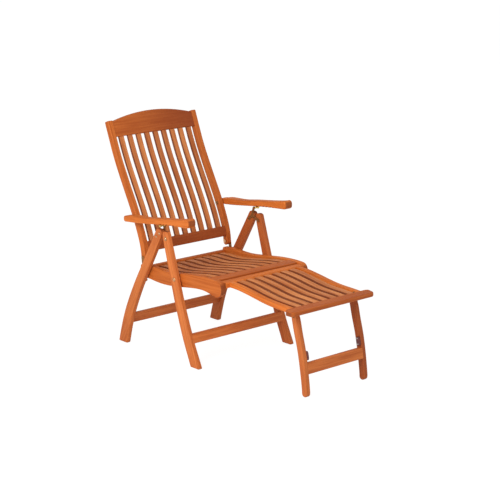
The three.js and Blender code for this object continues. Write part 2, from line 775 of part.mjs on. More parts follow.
function makeSeatBolt(side, name) {
  const crown = legOuter + jointGap + boltHeadHeight;
  const nut = innerHalf - jointGap - boltHeadHeight;
  const bolt = turned([
    [side * nut, boltHeadRadius * domeShares[1]],
    [side * (nut + boltHeadHeight / 2), boltHeadRadius],
    [side * (innerHalf - jointGap), boltHeadRadius],
    [side * (innerHalf - jointGap), boltRadius],
    [side * (railOuter + jointGap), boltRadius],
    [side * (railOuter + jointGap), collarRadius],
    [side * (legInner - jointGap), collarRadius],
    [side * (legInner - jointGap), boltRadius],
    [side * (legOuter + jointGap), boltRadius],
    [side * (legOuter + jointGap), boltHeadRadius],
    [side * (crown - boltHeadHeight / 2), boltHeadRadius * domeShares[0]],
    [side * crown, boltHeadRadius * domeShares[1]],
  ], seatPivot);
  addPiece(name, bolt, brass);
}

function makeBackHinge(side, name) {
  const inner = railOuter + jointGap;
  const outer = inner + plateThickness;
  const anchor = [backPivot[0] + boltHeadRadius, railTopAt(backPivot[0]) - seatRailDepth / 2];
  const plate = strap([backPivot, anchor], boltHeadRadius, side * inner, side * outer)
    .add(shank(side, inner + jointGap, innerHalf, boltRadius, boltHeadRadius, boltHeadHeight, backPivot))
    .add(turned([
      [side * (outer - jointGap), rivetHeadRadius],
      [side * (outer + rivetHeadHeight / 3), rivetHeadRadius * domeShares[0]],
      [side * (outer + rivetHeadHeight / 2), rivetHeadRadius * domeShares[1]],
    ], anchor));
  addPiece(name, plate, brass);
}

function makeArmBolt(side, name) {
  const nut = innerHalf - jointGap - boltHeadHeight;
  const bolt = turned([
    [side * nut, boltHeadRadius * domeShares[1]],
    [side * (nut + boltHeadHeight / 2), boltHeadRadius],
    [side * (innerHalf - jointGap), boltHeadRadius],
    [side * (innerHalf - jointGap), boltRadius],
    [side * (railOuter + jointGap), boltRadius],
    [side * (railOuter + jointGap), boltHeadRadius],
    [side * (armInner - jointGap), boltHeadRadius],
    [side * (armInner - jointGap), boltRadius],
    [side * (armBoltEnd - boltRadius), boltRadius],
  ], armPivot);
  addPiece(name, bolt, brass);
}

// The pins end below the outer faces of the rails, where wooden plugs close the holes.
function makeFootrestPin(side, name) {
  const pin = rod(boltRadius, side * (innerHalf - pinDepth), side * (railOuter - plugDepth), footrestPivot);
  addPiece(name, pin, brass);
}

function makeFootrestHanger(side, name) {
  const outer = footrestSlatHalf - jointGap;
  const anchor = [
    footrestLegPivot[0] - footrestLegHeadRadius / 2,
    footrestTopAt(footrestLegPivot[0]) - footrestRailDepth / 2,
  ];
  const root = hangerInner + jointGap;
  const head = [rivetHeadRadius, rivetHeadHeight];
  const plate = strap([footrestLegPivot, anchor], boltHeadRadius, side * hangerInner, side * outer)
    .add(shank(side, root, footrestLegInner, boltRadius, ...head, footrestLegPivot));
  addPiece(name, plate, brass);
}

for (const [word, side] of sides) {
  makeApexPlate(side, `apex_plate_${word}`);
  makeSeatBolt(side, `seat_bolt_${word}`);
  makeBackHinge(side, `back_hinge_${word}`);
  makeArmBolt(side, `arm_bolt_${word}`);
  makeFootrestPin(side, `footrest_pin_${word}`);
  makeFootrestHanger(side, `footrest_hanger_${word}`);
}

// Origin on the ground under the middle of the chair
const middle = new THREE.Box3().setFromObject(chair).getCenter(new THREE.Vector3());
chair.position.set(-middle.x, -middle.y, 0);
chair.updateMatrixWorld(true);

export default chair;
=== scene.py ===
"""Looks of the folding steamer deck chair: its boards, fittings, finishes and stage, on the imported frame."""
import json
import math
import zlib

import bpy
import numpy as np
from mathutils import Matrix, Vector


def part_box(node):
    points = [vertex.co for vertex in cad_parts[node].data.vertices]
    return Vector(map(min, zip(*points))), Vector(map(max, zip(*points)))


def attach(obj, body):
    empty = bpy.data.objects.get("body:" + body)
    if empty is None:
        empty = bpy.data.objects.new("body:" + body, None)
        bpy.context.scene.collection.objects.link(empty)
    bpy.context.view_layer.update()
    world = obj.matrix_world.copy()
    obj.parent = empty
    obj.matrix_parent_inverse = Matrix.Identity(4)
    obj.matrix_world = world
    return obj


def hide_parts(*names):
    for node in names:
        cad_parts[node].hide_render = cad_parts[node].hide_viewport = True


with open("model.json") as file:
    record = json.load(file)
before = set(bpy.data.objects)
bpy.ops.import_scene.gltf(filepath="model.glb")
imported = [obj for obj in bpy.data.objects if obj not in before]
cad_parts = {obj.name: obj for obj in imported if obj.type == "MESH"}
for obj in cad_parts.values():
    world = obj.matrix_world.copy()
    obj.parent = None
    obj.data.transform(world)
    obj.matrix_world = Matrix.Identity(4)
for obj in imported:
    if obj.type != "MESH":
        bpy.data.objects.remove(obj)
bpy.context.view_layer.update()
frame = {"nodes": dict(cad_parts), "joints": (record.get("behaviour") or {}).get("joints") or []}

bl_info = {
    "name": "Steamer deck chair",
    "version": (1, 0, 0),
    "blender": (4, 5, 0),
    "location": "3D View > Sidebar > Deck chair",
    "description": "Builds the oiled hardwood, brass and bronze of a folding deck chair",
    "category": "Object",
}

# Units and counts shared by all pieces
MM = 0.001
SIDES = (("left", 1), ("right", -1))
ACROSS = (1, 0, 0)
QUARTER_TURN = math.pi / 2
CORNER_STEPS = 5
EDGE_STEPS = 5
DOME_STEPS = 6
PLAN_STEPS = 9
FRONT_STEPS = 14
ARCH_STEPS = 41
LATHE_STEPS = 48
FLOOR_STEPS = 64
NOTCHES = 5
SHARP_TURN = math.radians(30)
CREASE = math.radians(40)
STRAIGHT = 0.0009  # sine of the turn at a point that only a triangle's side put on a flat face
SAME_PLACE = 1e-6  # metres
WAVE_PERIOD = 2 * math.pi / 20  # of a wave texture at scale 1


def sides_of(node):
    """Lowest and highest x of a CAD node: for a left one, the distances of its sides from the middle."""
    low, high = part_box(node)
    return low.x, high.x


# Places that the frame gives: pivots (y, z) and distances across the chair
PIVOTS = {joint["name"]: np.array(joint["pos_m"][1:]) for joint in frame["joints"]}
RAIL_INNER, RAIL_OUTER = sides_of("seat_rail_left")
LEG_INNER, LEG_OUTER = sides_of("front_leg_left")
ARM_INNER, ARM_OUTER = sides_of("arm_left")
STAND_INNER, STAND_OUTER = sides_of("footrest_leg_left")
HANGER_OUTER = sides_of("footrest_hanger_left")[1]

# From the pivot of the legs to the two rivets and the catch pin (y, z)
HIGH_RIVET = np.array([42.2, 16.0]) * MM
LOW_RIVET = np.array([63.0, -1.0]) * MM
CATCH = np.array([32.3, 52.5]) * MM

# Rounding of the sections of boards that run across, seen from the side
STRETCHER_ROUND = 3.5 * MM
RAIL_ROUND = 3.2 * MM
HINGE_RAIL_ROUND = 4 * MM
BROAD_ROUND = 5 * MM

# How far heads and nuts stand out, and how deep shanks run into boards and nuts
HEAD_RISE = 5 * MM
RIVET_RISE = 3 * MM
SCREW_RISE = 1.9 * MM
SUNK = 2 * MM

# Where the lamps and the camera stand, and what they look at
KEY_PLACE, KEY_WIDTH = (-2.3, -0.75, 1.75), 1.3
FILL_PLACE, FILL_WIDTH = (0.4, -3.0, 1.2), 1.6
LAMP_AIM = (0, 0, 0.45)
CAMERA_PLACE, CAMERA_AIM = (-4.3598, -4.9105, 2.1422), (-0.07246, -0.15561, 0.5115)
CAMERA_ROLL = math.radians(0.44)

# How brightly the floor glows to the eye, and the share of the glow beside the lit paint
GLOW, GLOW_SHARE = 1.15, 0.8

# The woods, with the first word of their colours
LEG_WOOD, RAIL_WOOD, SLAT_WOOD = "eucalyptus_oiled_legs", "eucalyptus_oiled_rails", "eucalyptus_oiled_slats"
WOODS = {LEG_WOOD: "leg", RAIL_WOOD: "rail", SLAT_WOOD: "slat"}

# The metals: bright colour, dull colour, width of a patch, roughness, and how much rougher it is where dull
BRASS, PALE, BROWNED = "brass_polished", "brass_burnished", "brass_browned"
BRONZE, STEEL = "bronze_cast_browned", "steel_zinc_plated"
METALS = {
    BRASS: ("brass", "brass_dull", 9 * MM, 0.2, 0.22),
    PALE: ("brass_pale", "brass_rubbed", 5 * MM, 0.25, 0.2),
    BROWNED: ("brass_browned", None, 7 * MM, 0.6, 0.15),
    BRONZE: ("bronze", None, 6 * MM, 0.42, 0.15),
    STEEL: ("steel", None, 5 * MM, 0.25, 0.1),
}

# How much red heartwood a board shows where it isn't left to chance: one number, or one for each end. The high
# numbers of the far-side legs and the rise towards the far end of the top rail are painted shade, laid on with the
# same dark red.
TONES_AND_SHADE = {
    "back_top_rail_wood": (0.45, 1), "back_bottom_rail_wood": (0.8, 0.9), "back_stile_right_wood": 0.35,
    "back_stile_left_wood": 0.35, "arm_right_wood": 0.18, "arm_left_wood": 0.15, "seat_rail_right_wood": 0.42,
    "seat_front_rail_wood": 0.5, "front_leg_right_wood": 0, "front_leg_left_wood": 0.35,
    "rear_leg_right_wood": 0.2, "rear_leg_left_wood": 0.5, "front_stretcher_wood": 0.08,
    "rear_stretcher_wood": 0.25, "footrest_stretcher_wood": 0.12, "footrest_leg_right_wood": 0.25,
    "footrest_leg_left_wood": 0.75, "footrest_front_rail_wood": (0.52, 0.6), "footrest_rail_right_wood": 0,
}
TONE_SPREAD = 0.35
LEAST_TONE = 0.2  # of the back slats, which are redder than the other boards left to chance

# The draws that set a board apart: most tilt of its grain, and size of the log in metres
TILT = 0.012
LOG = 4


def linear(code):
    """Linear red, green, blue of an sRGB hex code: v/12.92 when dark, else ((v + 0.055)/1.055)^2.4."""
    value = np.array([int(code[k:k + 2], 16) for k in (1, 3, 5)]) / 255
    return tuple(np.where(value <= 0.04045, value / 12.92, ((value + 0.055) / 1.055) ** 2.4))


def length(name, default, description):
    """A size in metres that the user can change."""
    return bpy.props.FloatProperty(
        name=name, description=description, default=default, min=0, unit="LENGTH", subtype="DISTANCE",
    )


def colour(name, code, description):
    """A colour that the user can change."""
    return bpy.props.FloatVectorProperty(
        name=name, description=description, default=linear(code), min=0, max=1, size=3, subtype="COLOR",
    )


class ChairSizes(bpy.types.PropertyGroup):
    """Sizes of the details that the boards and fittings get."""

    leg_edge: length("Leg edges", 4.0 * MM, "Rounding of the long edges of the legs")
    rail_edge: length("Rail edges", 3.2 * MM, "Rounding of the seat rails, stiles and footrest rails")
    slat_edge: length("Slat edges", 2.2 * MM, "Rounding of the long edges of the slats")
    arm_edge: length("Arm edges", 5.0 * MM, "Rounding of the long edges of the arms")
    end_edge: length("End edges", 0.6 * MM, "Broken edge where a board ends against another")
    tenon: length("Tenon", 4.0 * MM, "How far a board's end runs into the board that holds it")
    nose_round: length("Arm nose", 9.0 * MM, "Rounding of the arm's nose in plan")
    heel_round: length("Arm heel", 7.0 * MM, "Rounding of the arm's heel in plan")
    notch: length("Notch", 6.0 * MM, "Radius of the notches under the arms")
    notch_pitch: length("Notch spacing", 22.0 * MM, "Distance between the notches under the arms")
    board_round: length("Footrest board corners", 22.0 * MM, "Rounding of the front board in plan")
    plate_edge: length("Plate edges", 0.5 * MM, "Rounding of the pressed brass plates")
    plate: length("Plate thickness", 2.5 * MM, "Thickness of the pressed brass plates")
    gap: length("Fit gap", 0.3 * MM, "Clearance between boards and fittings")
    rivet: length("Rivet head", 5.8 * MM, "Radius of the rivet heads on the legs")
    bolt: length("Bolt", 4.0 * MM, "Radius of the pivot bolts")
    plug: length("Plug", 4.4 * MM, "Radius of the wooden plugs over the footrest pins")
    bolt_head: length("Bolt head", 9.0 * MM, "Radius of the domed bolt heads and of the nuts")
    collar: length("Collar", 12.0 * MM, "Radius of the washers between rail and leg")
    knob: length("Catch knob", 6.5 * MM, "Radius of the knob that carries the arm")
    catch_width: length("Catch width", 17.0 * MM, "Width of a bronze catch on the footrest legs")
    catch_height: length("Catch height", 38.0 * MM, "Height of a bronze catch")
    catch_depth: length("Catch depth", 11.5 * MM, "How far a bronze catch stands off the leg")
    screw: length("Screw head", 3.2 * MM, "Radius of the small screw heads")


class ChairFinishes(bpy.types.PropertyGroup):
    """Colours of the finishes."""

    leg_light: colour("Legs, light", "#E07F3C", "Light streaks of the legs")
    leg_dark: colour("Legs, dark", "#B85B22", "Dark streaks of the legs")
    rail_light: colour("Rails, light", "#EA8130", "Light streaks of the rails, stiles and arms")
    rail_dark: colour("Rails, dark", "#BE5C12", "Dark streaks of the rails, stiles and arms")
    slat_light: colour("Slats, light", "#ED9856", "Light streaks of the slats")
    slat_dark: colour("Slats, dark", "#B96226", "Dark streaks of the slats")
    # Also painted shade: this dark red darkens the far-side legs and the far end of the top rail, by their listed
    # tones
    heart: colour("Heartwood", "#883404", "Dark red tint of the boards cut near the heart")
    pore: colour("Pores", "#6E3514", "Oil-filled pores")
    # Also painted shade: this dark colour darkens the side faces of the slats, where the gaps between them fall dark
    end_grain_and_gap_shade: colour("End grain", "#6A2C0A", "Sawn ends and slat sides, which soak up the oil")
    brass: colour("Brass", "#D9B765", "Polished brass")
    brass_dull: colour("Dulled brass", "#8E6A2C", "Brass dulled in its hollows")
    brass_pale: colour("Pale brass", "#CFA27A", "Rivets and bolt heads, burnished until they look pale")
    brass_rubbed: colour("Rubbed brass", "#9A6C42", "Rivets and bolt heads where oil has darkened them")
    brass_browned: colour("Browned brass", "#A87446", "Brass of the hinge plates, browned by oil and handling")
    bronze: colour("Bronze", "#704644", "Browned bronze of the catches")
    steel: colour("Steel", "#D2CEC8", "Zinc-plated screws")


class ChairStage(bpy.types.PropertyGroup):
    """Light, floor and camera."""

    key: bpy.props.FloatProperty(name="Key", description="Power of the main lamp in watts", default=41, min=0)
    fill: bpy.props.FloatProperty(name="Fill", description="Power of the front lamp in watts", default=6, min=0)
    sky: bpy.props.FloatProperty(name="Sky", description="Strength of the white surround", default=0.61, min=0)
    floor: colour("Floor", "#F2F1EE", "Pale studio floor")
    lens: bpy.props.FloatProperty(
        name="Lens", description="Focal length on a 36 mm sensor", default=112.65, min=1, subtype="DISTANCE_CAMERA",
    )


# Outlines

def mesh_arrays(node):
    """Points of a CAD node, merged where they coincide, and the three point numbers of each triangle."""
    mesh = frame["nodes"][node].data
    points = np.empty(len(mesh.vertices) * 3)
    mesh.vertices.foreach_get("co", points)
    corners = np.empty(len(mesh.loops), int)
    mesh.loops.foreach_get("vertex_index", corners)
    points, number = np.unique(np.round(points.reshape(-1, 3), 6), axis=0, return_inverse=True)
    return points, number.reshape(-1)[corners].reshape(-1, 3)


def cut_loop(node, level):
    """Outer outline (y, z), counterclockwise seen from +X, of a CAD node on the plane x = level.

    Each triangle that the plane cuts joins the edge where it rises through the plane to the edge
    where it falls back. The edges get their order by adding up the steps back to the first one,
    twice as far in each round.
    """
    points, corners = mesh_arrays(node)
    following = np.roll(corners, -1, axis=1)
    above = points[corners, 0] > level
    ahead = points[following, 0] > level
    rising, falling = ~above & ahead, above & ~ahead
    up = np.stack([corners[rising], following[rising]], axis=1)
    down = np.stack([corners[falling], following[falling]], axis=1)
    both = np.sort(np.concatenate([up, down]), axis=1)
    edges, number = np.unique(both, axis=0, return_inverse=True)
    number = number.reshape(-1)
    low, high = points[edges[:, 0]], points[edges[:, 1]]
    share = (level - low[:, :1]) / (high[:, :1] - low[:, :1])
    places = (low + share * (high - low))[:, 1:]
    before = np.empty(len(edges), int)
    before[number[len(up):]] = number[:len(up)]
    first = places[:, 0].argmin()
    before[first] = first
    rank = (np.arange(len(edges)) != first).astype(int)
    for _ in range(len(edges).bit_length() + 1):
        rank = rank + rank[before]
        before = before[before]
    outline = before == first
    loop = places[outline][np.argsort(rank[outline])]
    behind, on = loop - np.roll(loop, 1, axis=0), np.roll(loop, -1, axis=0) - loop
    cross = behind[:, 0] * on[:, 1] - behind[:, 1] * on[:, 0]
    bend = cross / (np.linalg.norm(behind, axis=1) * np.linalg.norm(on, axis=1) + SAME_PLACE ** 2)
    loop = loop[np.abs(bend) > STRAIGHT]
    after = np.roll(loop, -1, axis=0)
    area = (loop[:, 0] * after[:, 1] - loop[:, 1] * after[:, 0]).sum()
    return loop if area > 0 else loop[::-1]


def softened(loop, radius):
    """Rounds a loop: each corner P becomes the parabola (1-t)^2 S + 2t(1-t) P + t^2 E.

    S and E lie on the edges beside P: half an edge away where the loop bends gently, so that a
    faceted curve comes out smooth, and radius x tan(turn/2) away at a sharp corner.
    """
    back, on = np.roll(loop, 1, axis=0) - loop, np.roll(loop, -1, axis=0) - loop
    back_length = np.linalg.norm(back, axis=1, keepdims=True)
    on_length = np.linalg.norm(on, axis=1, keepdims=True)
    cosine = -(back * on).sum(axis=1, keepdims=True) / (back_length * on_length)
    turn = np.arccos(np.clip(cosine, -1, 1))
    reach = radius * np.tan(turn / 2)

    def away(own, other):
        """Distance of S or E along its own edge: under half of it, and short beside a short one."""
        return np.where(turn > SHARP_TURN, np.minimum(reach, 0.45 * own), np.minimum(0.5 * own, 1.5 * other))

    start = loop + back / back_length * away(back_length, on_length)
    end = loop + on / on_length * away(on_length, back_length)
    t = np.linspace(0, 1, CORNER_STEPS)[None, :, None]
    curve = (1 - t) ** 2 * start[:, None] + 2 * t * (1 - t) * loop[:, None] + t ** 2 * end[:, None]
    curve = curve.reshape(-1, 2)
    apart = np.linalg.norm(curve - np.roll(curve, 1, axis=0), axis=1) > SAME_PLACE
    return curve[apart]


def main_direction(loop):
    """Unit vector along the longest way of a loop: the first principal direction of its points."""
    _, _, directions = np.linalg.svd(loop - loop.mean(axis=0), full_matrices=False)
    return directions[0]


def lengthened(loop, amount):
    """Moves each point along the loop's main direction, in proportion, so both ends gain amount."""
    direction = main_direction(loop)
    along = (loop - loop.mean(axis=0)) @ direction
    middle, half = (along.max() + along.min()) / 2, (along.max() - along.min()) / 2
    return loop + np.outer((along - middle) * amount / half, direction)


# Surfaces, each a stack of rings: ring k is a closed loop, and stations rise along X

def around(values, reach):
    """Each value with its neighbours up to reach places away on both sides, along a new first axis."""
    return np.stack([np.roll(values, k) for k in range(-reach, reach + 1)])


def drawn_in(loop, insets):
    """The loop once for each inset, with all of its edges moved inwards by it.

    Each corner moves so that both of its edges move by the inset. Where the loop bulges out more
    sharply than the inset, the move stops at 0.8 of the smallest bending radius within six points,
    which is the mean length of the two edges over their turn, so that the loop doesn't cross itself.
    """
    on = np.roll(loop, -1, axis=0) - loop
    span = np.linalg.norm(on, axis=1)
    on = on / span[:, None]
    inward = np.stack([-on[:, 1], on[:, 0]], axis=1)
    before = np.roll(inward, 1, axis=0)
    straight = (inward * before).sum(axis=1)
    turn = np.arctan2(before[:, 0] * inward[:, 1] - before[:, 1] * inward[:, 0], straight)
    radius = (span + np.roll(span, 1)) / 2 / np.maximum(turn, SAME_PLACE)
    limit = 0.8 * around(around(radius, 6).min(axis=0), 2).mean(axis=0)
    move = (inward + before) / (1 + straight)[:, None]
    return loop[None] + np.minimum(np.asarray(insets)[:, None], limit)[:, :, None] * move[None]


def stacked(stations, outlines):
    """Rings (x, y, z) from outlines (y, z) and the station x of each."""
    x = np.broadcast_to(stations[:, None, None], outlines.shape[:2] + (1,))
    return np.concatenate([x, outlines], axis=2)


def retreat(radius, beside):
    """How far a round corner of radius R has drawn back at u from its side: R - sqrt(R^2 - (R - u)^2)."""
    short = np.maximum(radius - beside, 0)
    return radius - np.sqrt(radius ** 2 - short ** 2)


def board(loop, low, high, edge, plan=0):
    """An outline carried across the chair from low to high, with both of its rims rounded.

    Near a face, ring a stands edge (1 - cos a) behind it and is drawn in by edge (1 - sin a), for a
    from 0 to a right angle. A narrow flat band on each side of the rounding keeps the faces flat.
    Where the ends will be rounded in plan, more rings follow at plan (1 - cos b).
    """
    band = 1.1 * edge
    angle = np.linspace(0, QUARTER_TURN, EDGE_STEPS)
    behind = plan * (1 - np.cos(np.linspace(0, QUARTER_TURN, PLAN_STEPS)))
    behind = behind[behind > band] if plan else np.array([band])
    across = np.concatenate([[0], edge * (1 - np.cos(angle)), behind])
    inset = np.concatenate([[band], edge * (1 - np.sin(angle)), np.zeros(len(behind))])
    stations = np.concatenate([low + across, (high - across)[::-1]])
    return stacked(stations, drawn_in(loop, np.concatenate([inset, inset[::-1]])))


def turned(profile, place, side, figure=None):
    """A profile (x, radius) turned about the line through place (y, z) that runs along X.

    A third column says how far a ring takes the figure in place of a circle: at angle a its radius
    is r (1 - m + m f(a)). On the right side of the chair x changes sign and the rings swap order.
    """
    profile = np.array(profile, float)
    if profile.shape[1] == 2:
        profile = np.column_stack([profile, np.zeros(len(profile))])
    profile[:, 0] *= side
    if profile[0, 0] > profile[-1, 0]:
        profile = profile[::-1]
    angle = np.arange(LATHE_STEPS) * 2 * math.pi / LATHE_STEPS
    shape = np.ones(LATHE_STEPS) if figure is None else figure(angle)
    radius = profile[:, 1:2] * (1 - profile[:, 2:3] + profile[:, 2:3] * shape[None])
    x = np.broadcast_to(profile[:, :1], radius.shape)
    return np.stack([x, place[0] + radius * np.cos(angle), place[1] + radius * np.sin(angle)], axis=2)


def six_sided(angle):
    """Radius of a regular hexagon whose corners lie on the unit circle."""
    sixth = math.pi / 3
    return math.cos(sixth / 2) / np.cos(np.mod(angle, sixth) - sixth / 2)


def cross_shaped(angle):
    """Radius of a four-armed driver recess: 0.35 + 0.65 |cos 2a|^4."""
    return 0.35 + 0.65 * np.abs(np.cos(2 * angle)) ** 4


def dome(base, radius, height):
    """Profile of a domed head: x = base + height sin a, radius cos a, which ends in a small flat."""
    angle = np.linspace(0, math.radians(84), DOME_STEPS)
    return np.column_stack([base + height * np.sin(angle), radius * np.cos(angle)])


def socket_head(face, radius, height, socket):
    """Profile of a domed screw head with a driver recess: the dome up to the recess, then down into it."""
    skirt = [[face, radius * 0.96, 0], [face + height * 0.12, radius, 0]]
    angle = np.linspace(math.radians(12), math.acos(min(1, 1.25 * socket / radius)), CORNER_STEPS)
    rise = face + height * (0.12 + 0.88 * np.sin(angle))
    crown = np.column_stack([rise, radius * np.cos(angle), np.zeros(len(angle))])
    top = rise[-1]
    recess = [[top, socket * 1.02, 1], [top - height * 0.1, socket * 0.95, 1], [top - height * 0.55, socket * 0.9, 1]]
    return np.concatenate([skirt, crown, recess])


def nut(face, radius):
    """Profile of a nut that stands inwards from face: a hexagon whose rims are turned to a cone."""
    height = HEAD_RISE
    return [
        [face, radius * 0.86, 0], [face - height * 0.08, radius * 0.98, 1], [face - height * 0.8, radius * 0.98, 1],
        [face - height * 0.86, radius * 0.84, 0], [face - height * 0.86, radius * 0.5, 0],
        [face - height, radius * 0.46, 0],
    ]


def washer(start, stop, bore, radius, edge, rim):
    """Profile of a thick washer from start to stop: over edge, its faces shrink to rim times its radius."""
    return [
        [start, bore], [start, radius * rim], [start + edge, radius],
        [stop - edge, radius], [stop, radius * rim], [stop, bore],
    ]


def rivet(face, radius, height):
    """Profile of a rivet: a shank in the wood and a domed head on a thin washer."""
    shank, top = radius * 0.5, face + 0.8 * MM
    foot = [
        [face - SUNK, shank], [face - 0.2 * MM, shank], [face - 0.2 * MM, radius * 0.97],
        [face + 0.1 * MM, radius], [face + 0.6 * MM, radius], [top, radius * 0.95], [top, radius * 0.82],
    ]
    return np.concatenate([foot, dome(top, radius * 0.8, height - 0.8 * MM)])


def inwards(face, profile):
    """A profile that stands out from 0, turned round so that it stands inwards from face."""
    return np.column_stack([face - profile[:, 0], profile[:, 1:]])


# Pieces

def quads_between(grid):
    """Four-sided faces between neighbouring rings of a grid of point numbers."""
    beside = np.roll(grid, -1, axis=1)
    return np.stack([grid[:-1], beside[:-1], beside[1:], grid[1:]], axis=-1).reshape(-1, 4).tolist()


def placed(name, data):
    """A new object in the scene, at the origin."""
    thing = bpy.data.objects.new(name, data)
    bpy.context.scene.collection.objects.link(thing)
    return thing


def piece(name, shells, body, nodes, kind, along=None):
    """Puts closed ring stacks into one mesh that rides on a body and stands for some CAD nodes.

    Wood also gets its own grain coordinates: metres along, across and through the board, shifted
    and tilted a little by a seeded draw, with a tone, which on some listed boards is painted shade, and how much oil
    each place has soaked up, with painted shade on the slat sides.
    """
    points = np.concatenate([rings.reshape(-1, 3) for rings in shells])
    faces, start = [], 0
    for rings in shells:
        grid = start + np.arange(rings.shape[0] * rings.shape[1]).reshape(rings.shape[:2])
        faces += quads_between(grid) + [grid[0, ::-1].tolist(), grid[-1].tolist()]
        start += grid.size
    mesh = bpy.data.meshes.new(name)
    mesh.from_pydata(points.tolist(), [], faces)
    mesh.shade_smooth()
    mesh.set_sharp_from_angle(angle=CREASE)
    mesh.materials.append(finish_of(kind))
    if along is not None:
        add_grain(mesh, points, np.asarray(along, float), name)
    thing = placed(name, mesh)
    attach(thing, body)
    if nodes:
        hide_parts(*nodes)
    return thing


def ramp(value, start, width):
    """0 up to start, 1 from start + width on, and a straight rise between them."""
    return np.clip((value - start) / width, 0, 1)


def add_grain(mesh, points, along, name):
    """Writes grain (metres along, across, through), tone (0 to 1) and soak (0 to 1) on the points.

    The side faces of the slats get painted shade, where the gaps between them fall dark, and the
    surface gets 0.65 as much where it cuts the grain squarely and the end grain soaks up oil, though not on the
    outermost points of a board that runs lengthwise, because these lie on its flat side faces.
    """
    draw = np.random.default_rng(zlib.crc32(name.encode()))
    tilt = draw.uniform(-TILT, TILT, 3)
    along = along / np.linalg.norm(along)
    lengthwise = abs(along[0]) < 0.5
    aside = np.array([1.0, 0, 0]) if lengthwise else np.cross(along, [0, 0, 1])
    aside = aside / np.linalg.norm(aside)
    axes = np.stack([along, aside, np.cross(along, aside)])
    places = (points - points.mean(axis=0)) @ axes.T
    places[:, 1] += places[:, 0] * tilt[0]
    places[:, 2] += places[:, 0] * tilt[1]
    places += draw.uniform(0, LOG, 3)
    least = LEAST_TONE if name.startswith("back_slat") else 0
    # Listed tones include painted shade on the far-side legs and towards the far end of the top rail
    start, end = np.broadcast_to(TONES_AND_SHADE.get(name, draw.uniform(least, least + TONE_SPREAD)), 2)
    share = (places[:, 0] - places[:, 0].min()) / np.ptp(places[:, 0])
    normals = np.empty(len(points) * 3, np.float32)
    mesh.vertex_normals.foreach_get("vector", normals)
    normals = normals.reshape(-1, 3)
    outermost = (points[:, 0] == points[:, 0].min()) | (points[:, 0] == points[:, 0].max())
    square = np.where(outermost & lengthwise, 0, np.abs(normals @ along))
    # Painted shade: the side faces of the slats get the dark end-grain colour, where the gaps between slats fall dark
    painted_gap_shade = np.abs(normals[:, 0]) if "_slat_" in name else 0 * square
    soak = np.maximum(0.65 * ramp(square, 0.55, 0.35), ramp(painted_gap_shade, 0.35, 0.4))
    mesh.attributes.new("grain", "FLOAT_VECTOR", "POINT").data.foreach_set("vector", places.ravel())
    mesh.attributes.new("tone", "FLOAT", "POINT").data.foreach_set("value", start + (end - start) * share)
    mesh.attributes.new("soak", "FLOAT", "POINT").data.foreach_set("value", soak * soak * (3 - 2 * soak))


def wooden(node, shells, body, kind, along):
    """One wooden piece that stands for the CAD node of the same name."""
    return piece(f"{node}_wood", shells, body, [node], kind, along)


def metal(node, shells, body, kind):
    """One metal fitting that stands for the CAD node of the same name."""
    return piece(f"{node}_brass", shells, body, [node], kind)


def spans_of(inner, outer, side):
    """Lowest and highest x of a piece between two distances from the middle, on one side."""
    return (inner, outer) if side > 0 else (-outer, -inner)


def long_board(node, level, span, edge, tenon=0):
    """A board from the cut of a CAD node, carried across the span, and the direction along it."""
    loop = cut_loop(node, level)
    if tenon:
        loop = lengthened(loop, tenon)
    loop = softened(loop, 1.3 * edge)
    return board(loop, *span, edge), (0, *main_direction(loop))


def own_board(node, edge, tenon, body, kind):
    """A board cut from its own node, whose ends run into the boards that hold it."""
    low, high = sides_of(node)
    rings, along = long_board(node, (low + high) / 2, (low, high), edge, tenon)
    wooden(node, [rings], body, kind, along)


def paired_boards(stem, sides, edge, body, kind, off=0, extra=None):
    """The left and the right board, both cut from the left CAD node, off from the middle of its sides.

    The function extra gives the other parts that one side's piece gets, such as a dowel or a plug.
    """
    for word, side in SIDES:
        rings, along = long_board(f"{stem}_left", sum(sides) / 2 + off, spans_of(*sides, side), edge)
        wooden(f"{stem}_{word}", [rings] + (extra(side) if extra else []), body, kind, along)


def cross_board(node, rounding, ends, body, kind=RAIL_WOOD):
    """A board across the chair: its section has rounded corners, and its ends run into others.

    ends holds the broken edge at both ends and how far they run in.
    """
    end_edge, tenon = ends
    low, high = sides_of(node)
    loop = softened(cut_loop(node, (low + high) / 2), rounding)
    wooden(node, [board(loop, low - tenon, high + tenon, end_edge)], body, kind, ACROSS)


def make_slats(stem, count, body, sizes):
    """Slats that are numbered from one, each cut from its own node."""
    for k in range(1, count + 1):
        own_board(f"{stem}_{k}", sizes.slat_edge, sizes.tenon, body, SLAT_WOOD)


# Finishes, and the settings that many of their nodes share

MULTIPLY, MULTIPLY_ADD = {"operation": "MULTIPLY"}, {"operation": "MULTIPLY_ADD"}
SMOOTH, COLOURS = {"interpolation_type": "SMOOTHSTEP"}, {"data_type": "RGBA"}


def add(tree, kind, settings=None, inputs=None):
    """Adds one node: settings are its own properties, inputs its sockets, each a value or (node, output)."""
    node = tree.nodes.new(f"ShaderNode{kind}")
    for key, value in (settings or {}).items():
        setattr(node, key, value)
    for key, value in (inputs or {}).items():
        if isinstance(value, tuple) and isinstance(value[0], bpy.types.Node):
            tree.links.new(value[0].outputs[value[1]], node.inputs[key])
        else:
            node.inputs[key].default_value = value
    return node


def new_finish(name):
    """A new material and its empty tree."""
    material = bpy.data.materials.new(name)
    material.use_nodes = True
    material.node_tree.nodes.clear()
    return material, material.node_tree


def opaque(shade):
    """A colour as red, green and blue, with full alpha."""
    return (*shade, 1)


def stretched_noise(tree, grain, along, across, detail):
    """Noise whose patches are about along x across x across metres, in the board's own directions."""
    scale = (1 / along, 1 / across, 1 / across)
    mapping = add(tree, "Mapping", None, {"Vector": (grain, "Vector"), "Scale": scale})
    return add(tree, "TexNoise", None, {"Vector": (mapping, 0), "Scale": 1, "Detail": detail, "Roughness": 0.55})


